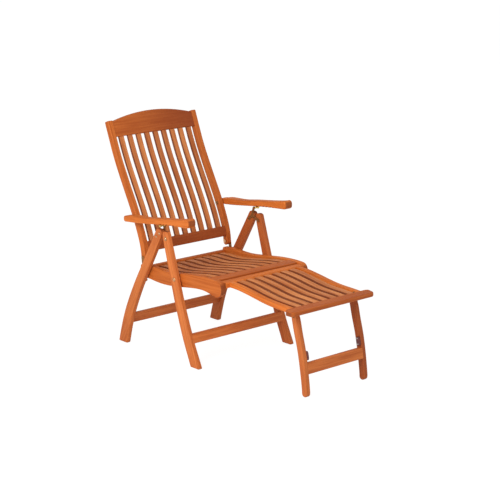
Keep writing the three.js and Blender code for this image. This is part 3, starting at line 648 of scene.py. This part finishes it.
def oiled_eucalyptus(name, light, dark, finishes):
    """Eucalyptus, planed, sanded and oiled: straight streaks, faint growth bands, oil-filled pores.

    The streaks give the honey and russet stripes along each board, the bands a slow figure, and the
    tone makes neighbouring boards differ and lays painted shade on some far-side boards. The oil leaves a soft sheen
    that is stronger at a slant.
    """
    material, tree = new_finish(name)
    grain, tone, soak = [add(tree, "Attribute", {"attribute_name": key}) for key in ("grain", "tone", "soak")]
    streaks = stretched_noise(tree, grain, 260 * MM, 6 * MM, 3)
    figure = stretched_noise(tree, grain, 240 * MM, 30 * MM, 2)
    # Pores are 0.2 mm wide in the real wood, and are drawn 0.7 mm wide so that they show
    pores = stretched_noise(tree, grain, 14 * MM, 0.7 * MM, 2)

    # Growth bands stand 9 mm apart across the board, and the figure shifts them by up to 60 mm
    shift = add(tree, "Math", MULTIPLY, {0: (figure, "Fac"), 1: 60 * MM})
    sideways = add(tree, "CombineXYZ", None, {"Y": (shift, 0), "Z": (shift, 0)})
    bent = add(tree, "VectorMath", {"operation": "ADD"}, {0: (grain, "Vector"), 1: (sideways, 0)})
    bands = add(
        tree, "TexWave", {"bands_direction": "Y", "wave_profile": "SAW"},
        {"Vector": (bent, 0), "Scale": WAVE_PERIOD / (9 * MM), "Distortion": 1.5, "Detail": 2},
    )

    # Dark to light by the streaks, with a little of the bands and most of the figure added
    streaky = add(tree, "Math", MULTIPLY_ADD, {0: (bands, "Fac"), 1: 0.08, 2: (streaks, "Fac")})
    figured = add(tree, "Math", MULTIPLY_ADD, {0: (figure, "Fac"), 1: 0.9, 2: (streaky, 0)})
    share = add(tree, "MapRange", SMOOTH, {"Value": (figured, 0), "From Min": 0.62, "From Max": 1.34})
    shade = add(tree, "Mix", COLOURS, {"Factor": (share, 0), 6: opaque(dark), 7: opaque(light)})

    # Over that come the red of the heartwood, which is also painted shade on some boards, the pores, and the oil
    # soaked into the end grain, whose dark colour is also painted shade on the slat sides
    reddened_and_shaded = add(tree, "Math", MULTIPLY, {0: (tone, "Fac"), 1: 0.9})
    pitted = add(
        tree, "MapRange", SMOOTH,
        {"Value": (pores, "Fac"), "From Min": 0.62, "From Max": 0.76, "To Max": 0.35},
    )
    soaked_and_gap_shaded = add(tree, "Math", MULTIPLY, {0: (soak, "Fac"), 1: 0.9})
    for part, tint in ((reddened_and_shaded, finishes.heart), (pitted, finishes.pore), (soaked_and_gap_shaded, finishes.end_grain_and_gap_shade)):
        shade = add(tree, "Mix", COLOURS, {"Factor": (part, 0), 6: (shade, 2), 7: opaque(tint)})

    gloss = add(
        tree, "MapRange", None,
        {"Value": (streaks, "Fac"), "From Min": 0.3, "From Max": 0.7, "To Min": 0.74, "To Max": 0.6},
    )
    relief = add(tree, "Math", MULTIPLY_ADD, {0: (pitted, 0), 1: -1.0, 2: (streaks, "Fac")})
    bump = add(tree, "Bump", None, {"Height": (relief, 0), "Strength": 0.5, "Distance": 0.25 * MM})
    shader = add(
        tree, "BsdfPrincipled", None,
        {"Base Color": (shade, 2), "Roughness": (gloss, 0), "IOR": 1.4, "Normal": (bump, 0)},
    )
    add(tree, "OutputMaterial", None, {"Surface": (shader, 0)})
    return material


def worn_metal(name, bright, dull, patch, roughness, spread):
    """A metal whose colour and gloss change over patches of a given size, with fine rubbing marks.

    Where no dull colour is given, it is 0.55 of the bright one.
    """
    dull = dull or tuple(0.55 * part for part in bright)
    material, tree = new_finish(name)
    place = add(tree, "TexCoord")
    patches = add(
        tree, "TexNoise", None, {"Vector": (place, "Object"), "Scale": 1 / patch, "Detail": 3, "Roughness": 0.6},
    )
    # Rubbing marks are 0.05 mm apart on real metal, and are drawn 0.5 mm apart so that they show
    marks = add(tree, "TexNoise", None, {"Vector": (place, "Object"), "Scale": 1 / (0.5 * MM), "Detail": 2})
    dulled = add(
        tree, "MapRange", SMOOTH,
        {"Value": (patches, "Fac"), "From Min": 0.42, "From Max": 0.68, "To Max": 0.8},
    )
    shade = add(tree, "Mix", COLOURS, {"Factor": (dulled, 0), 6: opaque(bright), 7: opaque(dull)})
    gloss = add(tree, "Math", MULTIPLY_ADD, {0: (dulled, 0), 1: spread, 2: roughness})
    bump = add(tree, "Bump", None, {"Height": (marks, "Fac"), "Strength": 0.15, "Distance": 0.05 * MM})
    shader = add(
        tree, "BsdfPrincipled", None,
        {"Base Color": (shade, 2), "Metallic": 1, "Roughness": (gloss, 0), "Normal": (bump, 0)},
    )
    add(tree, "OutputMaterial", None, {"Surface": (shader, 0)})
    return material


def finish_of(kind):
    """The material of one kind, made on first use.

    Wood: eucalyptus, planed and oiled. Brass: turned and polished, dull in patches the size of a
    fingertip, or burnished pale on the rivets and bolt heads, or pressed and left to brown on the
    plates. Bronze: cast and browned, dark with a low sheen. Steel: zinc-plated, bright and even.
    """
    found = bpy.data.materials.get(kind)
    if found:
        return found
    shades = bpy.context.scene.chair_finishes
    if kind in WOODS:
        light, dark = (getattr(shades, f"{WOODS[kind]}_{word}") for word in ("light", "dark"))
        return oiled_eucalyptus(kind, light, dark, shades)
    bright, dull, *looks = METALS[kind]
    return worn_metal(kind, getattr(shades, bright), dull and getattr(shades, dull), *looks)


# Operators

class CHAIR_OT_legs(bpy.types.Operator):
    """Makes the four legs of the frame, with the dowels that the seat rests on, and the two stretchers"""

    bl_idname = "chair.legs"
    bl_label = "Legs and stretchers"

    def execute(self, context):
        sizes = context.scene.chair_sizes
        ends = sizes.end_edge, sizes.tenon
        sides, off = (LEG_INNER, LEG_OUTER), 4 * MM
        for end, body, extra in (("front", "front_frame", None), ("rear", "rear_frame", self.dowel)):
            paired_boards(f"{end}_leg", sides, sizes.leg_edge, body, LEG_WOOD, off, extra)
            cross_board(f"{end}_stretcher", STRETCHER_ROUND, ends, body, LEG_WOOD)
        return {"FINISHED"}

    def dowel(self, side):
        """A round peg with a chamfered end, placed on the part of the CAD leg that stands inside the leg."""
        points, _ = mesh_arrays("rear_leg_left")
        peg = points[points[:, 0] < LEG_INNER - MM]
        centre = (peg.min(axis=0) + peg.max(axis=0)) / 2
        radius = (peg[:, 1].max() - peg[:, 1].min()) / 2
        end = peg[:, 0].min()
        profile = [
            [end, radius * 0.7], [end + 0.5 * MM, radius * 0.8], [end + 2 * MM, radius], [LEG_INNER + 4 * MM, radius],
        ]
        return [turned(profile, centre[1:], side)]


class CHAIR_OT_seat(bpy.types.Operator):
    """Makes the seat: two shaped side rails, nine slats and the cross rails at both ends"""

    bl_idname = "chair.seat"
    bl_label = "Seat"

    def execute(self, context):
        sizes = context.scene.chair_sizes
        paired_boards(
            "seat_rail", (RAIL_INNER, RAIL_OUTER), sizes.rail_edge, "seat", RAIL_WOOD,
            extra=lambda side: self.plug(sizes.plug, side),
        )
        make_slats("seat_slat", 9, "seat", sizes)
        for node in ("seat_front_rail", "seat_rear_rail"):
            cross_board(node, RAIL_ROUND, (sizes.end_edge, sizes.tenon), "seat")
        return {"FINISHED"}

    def plug(self, radius, side):
        """The wooden plug over the footrest pin, which stands a little proud of the rail."""
        proud, rim = 0.4 * MM, 0.2 * MM
        profile = [[RAIL_OUTER - 6 * MM, radius], [RAIL_OUTER + rim, radius], [RAIL_OUTER + proud, radius - proud]]
        return [turned(profile, PIVOTS["footrest_fold"], side)]


class CHAIR_OT_back(bpy.types.Operator):
    """Makes the back: two stiles, nine slats, the bottom rail and the arched top rail"""

    bl_idname = "chair.back"
    bl_label = "Back"

    def execute(self, context):
        sizes = context.scene.chair_sizes
        sides = RAIL_INNER, RAIL_OUTER
        paired_boards("back_stile", sides, sizes.rail_edge, "back", RAIL_WOOD)
        make_slats("back_slat", 9, "back", sizes)
        cross_board("back_bottom_rail", RAIL_ROUND, (sizes.end_edge, sizes.tenon), "back")
        wooden("back_top_rail", [self.arch(sizes)], "back", RAIL_WOOD, ACROSS)
        return {"FINISHED"}

    def arch(self, sizes):
        """The top rail: its section at x is the middle one, squeezed to the arch height above its base.

        The arch is the circle through the crown and both ends: z = crown - R + sqrt(R^2 - x^2), with
        R = (h^2 + s^2) / 2s for the half width h and the rise s. Points move along the rail's lean,
        which the mean places of the lowest and the highest 15 mm give.
        """
        node, near = "back_top_rail", 15 * MM
        low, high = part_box(node)
        points, _ = mesh_arrays(node)
        end_top = points[points[:, 0] > high.x - MM][:, 2].max()
        rise, half = high.z - end_top, high.x
        radius = (half ** 2 + rise ** 2) / (2 * rise)
        loop = softened(cut_loop(node, 0.5 * MM), BROAD_ROUND)
        ends = np.array([0, 0.6, 1]) * sizes.end_edge
        stop = half + sizes.tenon - ends
        stations = np.concatenate([-stop, np.linspace(-half, half, ARCH_STEPS), stop[::-1]])
        inset = sizes.end_edge - ends
        drawn = drawn_in(loop, np.concatenate([inset, np.zeros(ARCH_STEPS), inset[::-1]]))
        top = high.z - radius + np.sqrt(radius ** 2 - np.minimum(np.abs(stations), half) ** 2)
        base = loop[:, 1].min()
        share = (drawn[:, :, 1] - base) / (high.z - base)
        lift = share * (top - high.z)[:, None]
        lower, upper = loop[loop[:, 1] < base + near], loop[loop[:, 1] > high.z - near]
        lean = upper.mean(axis=0) - lower.mean(axis=0)
        return stacked(stations, drawn + lift[:, :, None] * [lean[0] / lean[1], 1])


class CHAIR_OT_arms(bpy.types.Operator):
    """Makes the two flat arms, rounded at heel and nose and notched below for the catch pin"""

    bl_idname = "chair.arms"
    bl_label = "Arms"

    def execute(self, context):
        sizes = context.scene.chair_sizes
        loop, count, centres = self.outline(sizes)
        along = (0, *main_direction(loop))
        for word, side in SIDES:
            rings = board(loop, *spans_of(ARM_INNER, ARM_OUTER, side), sizes.arm_edge, sizes.nose_round)
            rings = self.rounded_plan(self.notched(rings, count, centres, sizes.notch), sizes)
            wooden(f"arm_{word}", [rings], f"arm_{word}_body", RAIL_WOOD, along)
        return {"FINISHED"}

    def outline(self, sizes):
        """The arm's outline with its notches filled, how many points its underside has, and their centres.

        The notches stand at even steps before the catch pin. The underside gets points at each centre
        + r cos a, for a from 0 to a half turn, so that the notches can be pressed into it.
        """
        loop = cut_loop("arm_left", ARM_INNER + 0.6 * (ARM_OUTER - ARM_INNER))
        clear = 1.5 * sizes.notch
        y = PIVOTS["leg_fold"][0] + CATCH[0] - sizes.notch_pitch * np.arange(1, NOTCHES + 1)
        beside = np.abs(loop[:, :1] - y) < sizes.notch + 0.3 * MM
        lowest = np.where(beside, loop[:, 1:], np.inf).min(axis=0)
        cut = beside & (loop[:, 1:] < lowest + clear)
        loop = softened(loop[~cut.any(axis=1)], 1.3 * sizes.arm_edge)
        loop = np.roll(loop, -loop[:, 0].argmin(), axis=0)
        last = loop[:, 0].argmax() + 1
        under = loop[:last]
        ahead = under[under[:, 0] < y.min() - clear]
        behind = under[under[:, 0] > y.max() + clear]
        between = under[len(ahead):len(under) - len(behind), 0]
        close = y + sizes.notch * np.cos(np.linspace(0, math.pi, 13))[:, None]
        places = np.unique(np.round(np.concatenate([between, close.ravel()]), 5))
        dense = np.column_stack([places, np.interp(places, under[:, 0], under[:, 1])])
        centres = np.column_stack([y, np.interp(y, under[:, 0], under[:, 1])])
        whole = np.concatenate([ahead, dense, behind, loop[last:]])
        return whole, len(ahead) + len(dense) + len(behind), centres

    def notched(self, rings, count, centres, radius):
        """Presses round notches up into the underside: z is at least zc + sqrt(r^2 - (y - yc)^2)."""
        away = rings[:, :count, 1:2] - centres[:, 0]
        roof = centres[:, 1] + np.sqrt(np.maximum(radius ** 2 - away ** 2, 0))
        roof = np.where(np.abs(away) < radius, roof, 0).max(axis=2)
        z = np.concatenate([np.maximum(rings[:, :count, 2], roof), rings[:, count:, 2]], axis=1)
        return np.concatenate([rings[:, :, :2], z[:, :, None]], axis=2)

    def rounded_plan(self, rings, sizes):
        """Rounds nose and heel in plan, by the retreat of a round corner.

        The move fades out over five times the radius behind each end, so that the end keeps its
        rounding seen from the side.
        """
        x, y, z = np.moveaxis(rings, 2, 0)
        beside = np.minimum(x - x.min(), x.max() - x)
        for radius, tip, way in ((sizes.nose_round, y.min(), 1), (sizes.heel_round, y.max(), -1)):
            weight = np.clip(1 - np.abs(y - tip) / (5 * radius), 0, 1)
            y = y + way * retreat(radius, beside) * weight
        return np.stack([x, y, z], axis=2)


class CHAIR_OT_footrest(bpy.types.Operator):
    """Makes the footrest panel: side rails, seven slats, the hinge rail and the rounded front board"""

    bl_idname = "chair.footrest"
    bl_label = "Footrest"

    def execute(self, context):
        sizes = context.scene.chair_sizes
        body, slot = "footrest_panel", "frame_rails"
        for word, _ in SIDES:
            own_board(f"footrest_rail_{word}", sizes.rail_edge, sizes.tenon, body, RAIL_WOOD)
        make_slats("footrest_slat", 7, body, sizes)
        cross_board("footrest_rear_rail", HINGE_RAIL_ROUND, (1.5 * MM, 0), body)
        wooden("footrest_front_rail", [self.front(sizes.board_round)], body, RAIL_WOOD, ACROSS)
        return {"FINISHED"}

    def front(self, plan):
        """The front board: its section carried across, drawn in at both ends.

        Its width loses twice the retreat of the corners' plan radius, and its height twice that of
        the smaller edge radius.
        """
        node, rim = "footrest_front_rail", 6 * MM
        low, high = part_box(node)
        loop = softened(cut_loop(node, 0), BROAD_ROUND)
        centre = np.array([low.y + high.y, low.z + high.z]) / 2
        size = np.array([high.y - low.y, high.z - low.z])
        beside = plan * (1 - np.cos(np.linspace(0, QUARTER_TURN, FRONT_STEPS)))
        scale = 1 - 2 * np.column_stack([retreat(plan, beside), retreat(rim, beside)]) / size
        scale = np.concatenate([scale, np.ones((2, 2))])
        stations = np.concatenate([high.x - beside, high.x * np.array([0.5, 0.02])])
        scale, stations = np.concatenate([scale, scale[::-1]]), np.concatenate([-stations, stations[::-1]])
        return stacked(stations, centre + (loop - centre) * scale[:, None])


class CHAIR_OT_footrest_legs(bpy.types.Operator):
    """Makes the two legs of the footrest and the board between them"""

    bl_idname = "chair.footrest_legs"
    bl_label = "Footrest legs"

    def execute(self, context):
        sizes = context.scene.chair_sizes
        body, sides = "footrest_legs", (STAND_INNER, STAND_OUTER)
        paired_boards("footrest_leg", sides, sizes.leg_edge, body, LEG_WOOD)
        cross_board("footrest_stretcher", STRETCHER_ROUND, (sizes.end_edge, sizes.tenon), body, LEG_WOOD)
        return {"FINISHED"}


class CHAIR_OT_fittings(bpy.types.Operator):
    """Makes the brass: apex plates with rivets and catch knobs, pivot bolts, hinge plates and pins"""

    bl_idname = "chair.fittings"
    bl_label = "Brass fittings"

    def execute(self, context):
        sizes = context.scene.chair_sizes
        apex, hinge = LEG_INNER - sizes.gap - sizes.plate, RAIL_OUTER + sizes.gap
        for word, side in SIDES:
            plate = self.plate("apex_plate_left", apex, sizes, side)
            metal(f"apex_plate_{word}", [plate], "rear_frame", BROWNED)
            piece(f"leg_rivets_{word}", self.rivets(sizes, side), "rear_frame", [], PALE)
            piece(f"arm_catch_{word}", [self.knob(sizes, side, apex)], "rear_frame", [], BRASS)
            metal(f"seat_bolt_{word}", self.seat_bolt(sizes, side), "front_frame", PALE)
            metal(f"back_hinge_{word}", [self.plate("back_hinge_left", hinge, sizes, side)], "seat", BROWNED)
            piece(f"back_bolt_{word}", self.back_bolt(sizes, side, hinge), "seat", [], PALE)
            metal(f"arm_bolt_{word}", self.arm_bolt(sizes, side), f"arm_bolt_{word}_body", BROWNED)
            metal(f"footrest_hanger_{word}", self.hanger(sizes, side), "footrest_panel", BROWNED)
            metal(f"footrest_pin_{word}", [self.footrest_pin(sizes, side)], "footrest_pins", BRASS)
        return {"FINISHED"}

    def plate(self, node, inner, sizes, side):
        """A pressed plate: the CAD plate's outline with thin rounded rims."""
        outer = inner + sizes.plate
        loop = softened(cut_loop(node, (inner + outer) / 2), 2 * MM)
        return board(loop, *spans_of(inner, outer, side), sizes.plate_edge)

    def rivets(self, sizes, side):
        """The two rivets of the apex plate and the larger head of the bolt that the legs fold on."""
        pivot, face = PIVOTS["leg_fold"], LEG_OUTER + sizes.gap
        small, large = rivet(face, sizes.rivet, RIVET_RISE), rivet(face, sizes.bolt_head, HEAD_RISE)
        return [
            turned(small, pivot + LOW_RIVET, side), turned(small, pivot + HIGH_RIVET, side),
            turned(large, pivot, side),
        ]

    def knob(self, sizes, side, inner):
        """The pin that the arm's notches drop over: a neck with a bead and a rounded knob outside."""
        knob, neck = sizes.knob, 4.5 * MM
        spool = [
            [inner + MM, neck], [LEG_INNER + 5 * MM, neck], [LEG_INNER + 6 * MM, neck * 1.25],
            [LEG_INNER + 7 * MM, neck], [LEG_OUTER - MM, neck], [LEG_OUTER, knob * 0.9], [LEG_OUTER + 0.8 * MM, knob],
            [LEG_OUTER + 4.6 * MM, knob], [LEG_OUTER + 6.2 * MM, knob * 0.82], [LEG_OUTER + 6.9 * MM, knob * 0.5],
        ]
        return turned(spool, PIVOTS["leg_fold"] + CATCH, side)

    def shank(self, sizes, side, start, stop, place):
        """A plain round rod of the bolts' radius."""
        return turned([[start, sizes.bolt], [stop, sizes.bolt]], place, side)

    def rail_nut(self, sizes, side, place):
        """A nut on the inner face of the seat rail or stile."""
        return turned(nut(RAIL_INNER - sizes.gap, sizes.bolt_head), place, side, six_sided)

    def seat_bolt(self, sizes, side):
        """The bolt that the seat turns on: socket head outside, collar between leg and rail, nut inside."""
        place = PIVOTS["seat_fold"]
        start, stop = RAIL_OUTER + sizes.gap, LEG_INNER - sizes.gap
        collar = washer(start, stop, sizes.bolt, sizes.collar, 0.6 * MM, 0.96)
        head = socket_head(LEG_OUTER + sizes.gap, sizes.bolt_head, HEAD_RISE, 3.2 * MM)
        return [
            turned(head, place, side, six_sided), turned(collar, place, side), self.rail_nut(sizes, side, place),
            self.shank(sizes, side, RAIL_INNER - SUNK, LEG_OUTER + MM, place),
        ]

    def back_bolt(self, sizes, side, inner):
        """The bolt that the back turns on, with its nut, and the screw that holds the plate."""
        place = PIVOTS["back_recline"]
        low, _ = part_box("back_hinge_left")
        anchor = np.array([place[0] - sizes.bolt_head, low.z + sizes.bolt_head])
        head = socket_head(inner + sizes.plate - 0.4 * MM, sizes.rivet * 0.9, SCREW_RISE, 2 * MM)
        return [
            self.rail_nut(sizes, side, place), self.shank(sizes, side, RAIL_INNER - SUNK, inner + MM, place),
            turned(head, anchor, side, cross_shaped),
        ]

    def arm_bolt(self, sizes, side):
        """The bolt that the arm turns on: nut inside the stile, washer between, and its end in the arm."""
        place = PIVOTS["arm_level_left"]
        start, stop = RAIL_OUTER + sizes.gap, ARM_INNER - sizes.gap
        between = washer(start, stop, sizes.bolt, sizes.bolt_head, 0.4 * MM, 0.95)
        return [
            self.rail_nut(sizes, side, place), turned(between, place, side),
            self.shank(sizes, side, RAIL_INNER - SUNK, ARM_INNER + 18 * MM, place),
        ]

    def hanger(self, sizes, side):
        """The plate that carries a footrest leg, with the leg's stud, its head inside, and a screw."""
        place = PIVOTS["footrest_leg_fold"]
        inner = HANGER_OUTER - sizes.plate
        _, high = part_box("footrest_hanger_left")
        anchor = np.array([place[0] + 8 * MM, high.z - sizes.bolt_head])
        head = inwards(STAND_INNER - sizes.gap, rivet(0, sizes.rivet, RIVET_RISE))
        screw = inwards(inner, socket_head(0, sizes.screw, 0.9 * MM, 1.6 * MM))
        return [
            self.plate("footrest_hanger_left", inner, sizes, side), turned(head, place, side),
            self.shank(sizes, side, STAND_INNER - MM, inner + MM, place),
            turned(screw, anchor, side, cross_shaped),
        ]

    def footrest_pin(self, sizes, side):
        """The pin, which ends below the plug in the rail's outer face."""
        return self.shank(sizes, side, RAIL_INNER - 30 * MM, RAIL_OUTER - 6 * MM, PIVOTS["footrest_fold"])


class CHAIR_OT_catches(bpy.types.Operator):
    """Makes the two bronze catches on the inner faces of the footrest legs, each with two screws"""

    bl_idname = "chair.catches"
    bl_label = "Catches"

    def execute(self, context):
        sizes = context.scene.chair_sizes
        level, near, apart = 169 * MM, 20 * MM, 12.5 * MM
        leg = cut_loop("footrest_leg_left", (STAND_INNER + STAND_OUTER) / 2)
        front = leg[leg[:, 0] < leg[:, 0].mean()]
        front = front[np.argsort(front[:, 1])]
        edge = np.interp([level - near, level, level + near], front[:, 1], front[:, 0])
        lean = math.atan2(edge[2] - edge[0], 2 * near)
        up, aside = np.array([math.sin(lean), math.cos(lean)]), np.array([math.cos(lean), -math.sin(lean)])
        half = np.array([sizes.catch_width, sizes.catch_height]) / 2
        centre = np.array([edge[1], level]) + aside * (half[0] + 1.5 * MM)
        corner = half * [[-1, -0.6], [-0.6, -1], [0.6, -1], [1, -0.6], [1, 0.6], [0.6, 1], [-0.6, 1], [-1, 0.6]]
        loop = softened(centre + corner @ [aside, up], 5 * MM)
        outer = STAND_INNER - 0.2 * MM
        inner = outer - sizes.catch_depth
        screw = inwards(inner + 0.2 * MM, socket_head(0, sizes.screw, 1.6 * MM, 1.7 * MM))
        for word, side in SIDES:
            body = board(loop, *spans_of(inner, outer, side), 1.5 * MM)
            piece(f"catch_{word}", [body], "footrest_legs", [], BRONZE)
            heads = [turned(screw, centre + up * way * apart, side, cross_shaped) for way in (-1, 1)]
            piece(f"catch_screws_{word}", heads, "footrest_legs", [], STEEL)
        return {"FINISHED"}


class CHAIR_OT_stage(bpy.types.Operator):
    """Makes the pale floor, the white surround, the two soft lamps and the camera of the photograph"""

    bl_idname = "chair.stage"
    bl_label = "Stage"

    def execute(self, context):
        stage = context.scene.chair_stage
        context.scene.view_settings.view_transform = "Standard"
        self.floor(stage)
        self.surround(context.scene, stage)
        self.lamp("key_lamp", stage.key, KEY_PLACE, KEY_WIDTH)
        self.lamp("fill_lamp", stage.fill, FILL_PLACE, FILL_WIDTH)
        self.camera(context.scene, stage)
        return {"FINISHED"}

    def floor(self, stage):
        """A wide round floor: rings of radius r at angles a, in the plane z = 0."""
        angle = np.arange(FLOOR_STEPS) * 2 * math.pi / FLOOR_STEPS
        radius = np.array([0.5, 2, 8, 60])[:, None]
        points = np.stack([radius * np.cos(angle), radius * np.sin(angle), 0 * radius * angle], axis=-1)
        # The angles run backwards in the grid, so that the faces look up
        grid = np.arange(radius.size * FLOOR_STEPS).reshape(-1, FLOOR_STEPS)[:, ::-1]
        mesh = bpy.data.meshes.new("studio_floor")
        mesh.from_pydata(points.reshape(-1, 3).tolist(), [], quads_between(grid) + [grid[0, ::-1].tolist()])
        floor = placed("studio_floor", mesh)
        floor.location.z = -0.5 * MM
        mesh.materials.append(self.floor_paint(stage))

    def floor_paint(self, stage):
        """Matt floor paint that looks white to the camera and in reflections, and keeps a soft shadow."""
        material, tree = new_finish("floor_paint_matt")
        lit = add(tree, "BsdfDiffuse", None, {"Color": opaque(stage.floor)})
        glow = add(tree, "Emission", None, {"Color": opaque(linear("#FFFFFF")), "Strength": GLOW})
        part = add(tree, "MixShader", None, {0: GLOW_SHARE, 1: (lit, 0), 2: (glow, 0)})
        mix = add(tree, "MixShader", None, {0: (self.seen(tree), 0), 1: (lit, 0), 2: (part, 0)})
        add(tree, "OutputMaterial", None, {"Surface": (mix, 0)})
        return material

    def seen(self, tree):
        """1 for what the camera, a reflection or a clear body sees, and 0 for the light on the object."""
        path = add(tree, "LightPath")
        result = (path, "Is Camera Ray")
        for ray in ("Is Glossy Ray", "Is Transmission Ray"):
            result = (add(tree, "Math", {"operation": "MAXIMUM"}, {0: result, 1: (path, ray)}), 0)
        return result[0]

    def surround(self, scene, stage):
        """A white surround: strength 1 to the eye, and the sky strength as light on the object."""
        world = bpy.data.worlds.new("white_surround")
        world.use_nodes = True
        tree = world.node_tree
        tree.nodes.clear()
        strength = add(tree, "MapRange", None, {"Value": (self.seen(tree), 0), "To Min": stage.sky, "To Max": 1})
        sky = add(tree, "Background", None, {"Color": opaque(linear("#FFFFFF")), "Strength": (strength, 0)})
        add(tree, "OutputWorld", None, {"Surface": (sky, 0)})
        scene.world = world

    def lamp(self, name, power, place, width):
        """A round soft box at a place, turned towards the middle of the chair."""
        light = bpy.data.lights.new(name, "AREA")
        light.shape = "DISK"
        light.size = width
        light.energy = power
        lamp = placed(name, light)
        lamp.location = place
        away = Vector(place) - Vector(LAMP_AIM)
        lamp.rotation_euler = away.to_track_quat("Z", "Y").to_euler()

    def camera(self, scene, stage):
        """The photograph's camera, turned a little about its own axis."""
        data = bpy.data.cameras.new("camera")
        data.lens = stage.lens
        data.sensor_width = 36
        camera = placed("camera", data)
        place, aim = Vector(CAMERA_PLACE), Vector(CAMERA_AIM)
        turn = (aim - place).to_track_quat("-Z", "Y").to_matrix()
        roll = Matrix.Rotation(CAMERA_ROLL, 3, "Z")
        camera.matrix_world = Matrix.Translation(place) @ (turn @ roll).to_4x4()
        scene.camera = camera


OPERATORS = (
    CHAIR_OT_legs, CHAIR_OT_seat, CHAIR_OT_back, CHAIR_OT_arms, CHAIR_OT_footrest, CHAIR_OT_footrest_legs,
    CHAIR_OT_fittings, CHAIR_OT_catches, CHAIR_OT_stage,
)


class CHAIR_PT_panel(bpy.types.Panel):
    """Lists the settings of the chair and the steps that build it"""

    bl_idname = "CHAIR_PT_panel"
    bl_label = "Deck chair"
    bl_space_type = "VIEW_3D"
    bl_region_type = "UI"
    bl_category = "Deck chair"

    def draw(self, context):
        for name, group in GROUPS.items():
            for key in group.__annotations__:
                self.layout.prop(getattr(context.scene, name), key)
        for operator in OPERATORS:
            self.layout.operator(operator.bl_idname)


CLASSES = (ChairSizes, ChairFinishes, ChairStage, *OPERATORS, CHAIR_PT_panel)
GROUPS = {"chair_sizes": ChairSizes, "chair_finishes": ChairFinishes, "chair_stage": ChairStage}


def register():
    """Registers the classes and hangs the settings on the scene."""
    for item in CLASSES:
        bpy.utils.register_class(item)
    for name, group in GROUPS.items():
        setattr(bpy.types.Scene, name, bpy.props.PointerProperty(type=group))


def unregister():
    """Takes the settings and the classes away again."""
    for name in GROUPS:
        delattr(bpy.types.Scene, name)
    for item in reversed(CLASSES):
        bpy.utils.unregister_class(item)


def main():
    """Builds everything in order."""
    register()
    bpy.ops.chair.legs()
    bpy.ops.chair.seat()
    bpy.ops.chair.back()
    bpy.ops.chair.arms()
    bpy.ops.chair.footrest()
    bpy.ops.chair.footrest_legs()
    bpy.ops.chair.fittings()
    bpy.ops.chair.catches()
    bpy.ops.chair.stage()


if __name__ == "__main__":
    main()
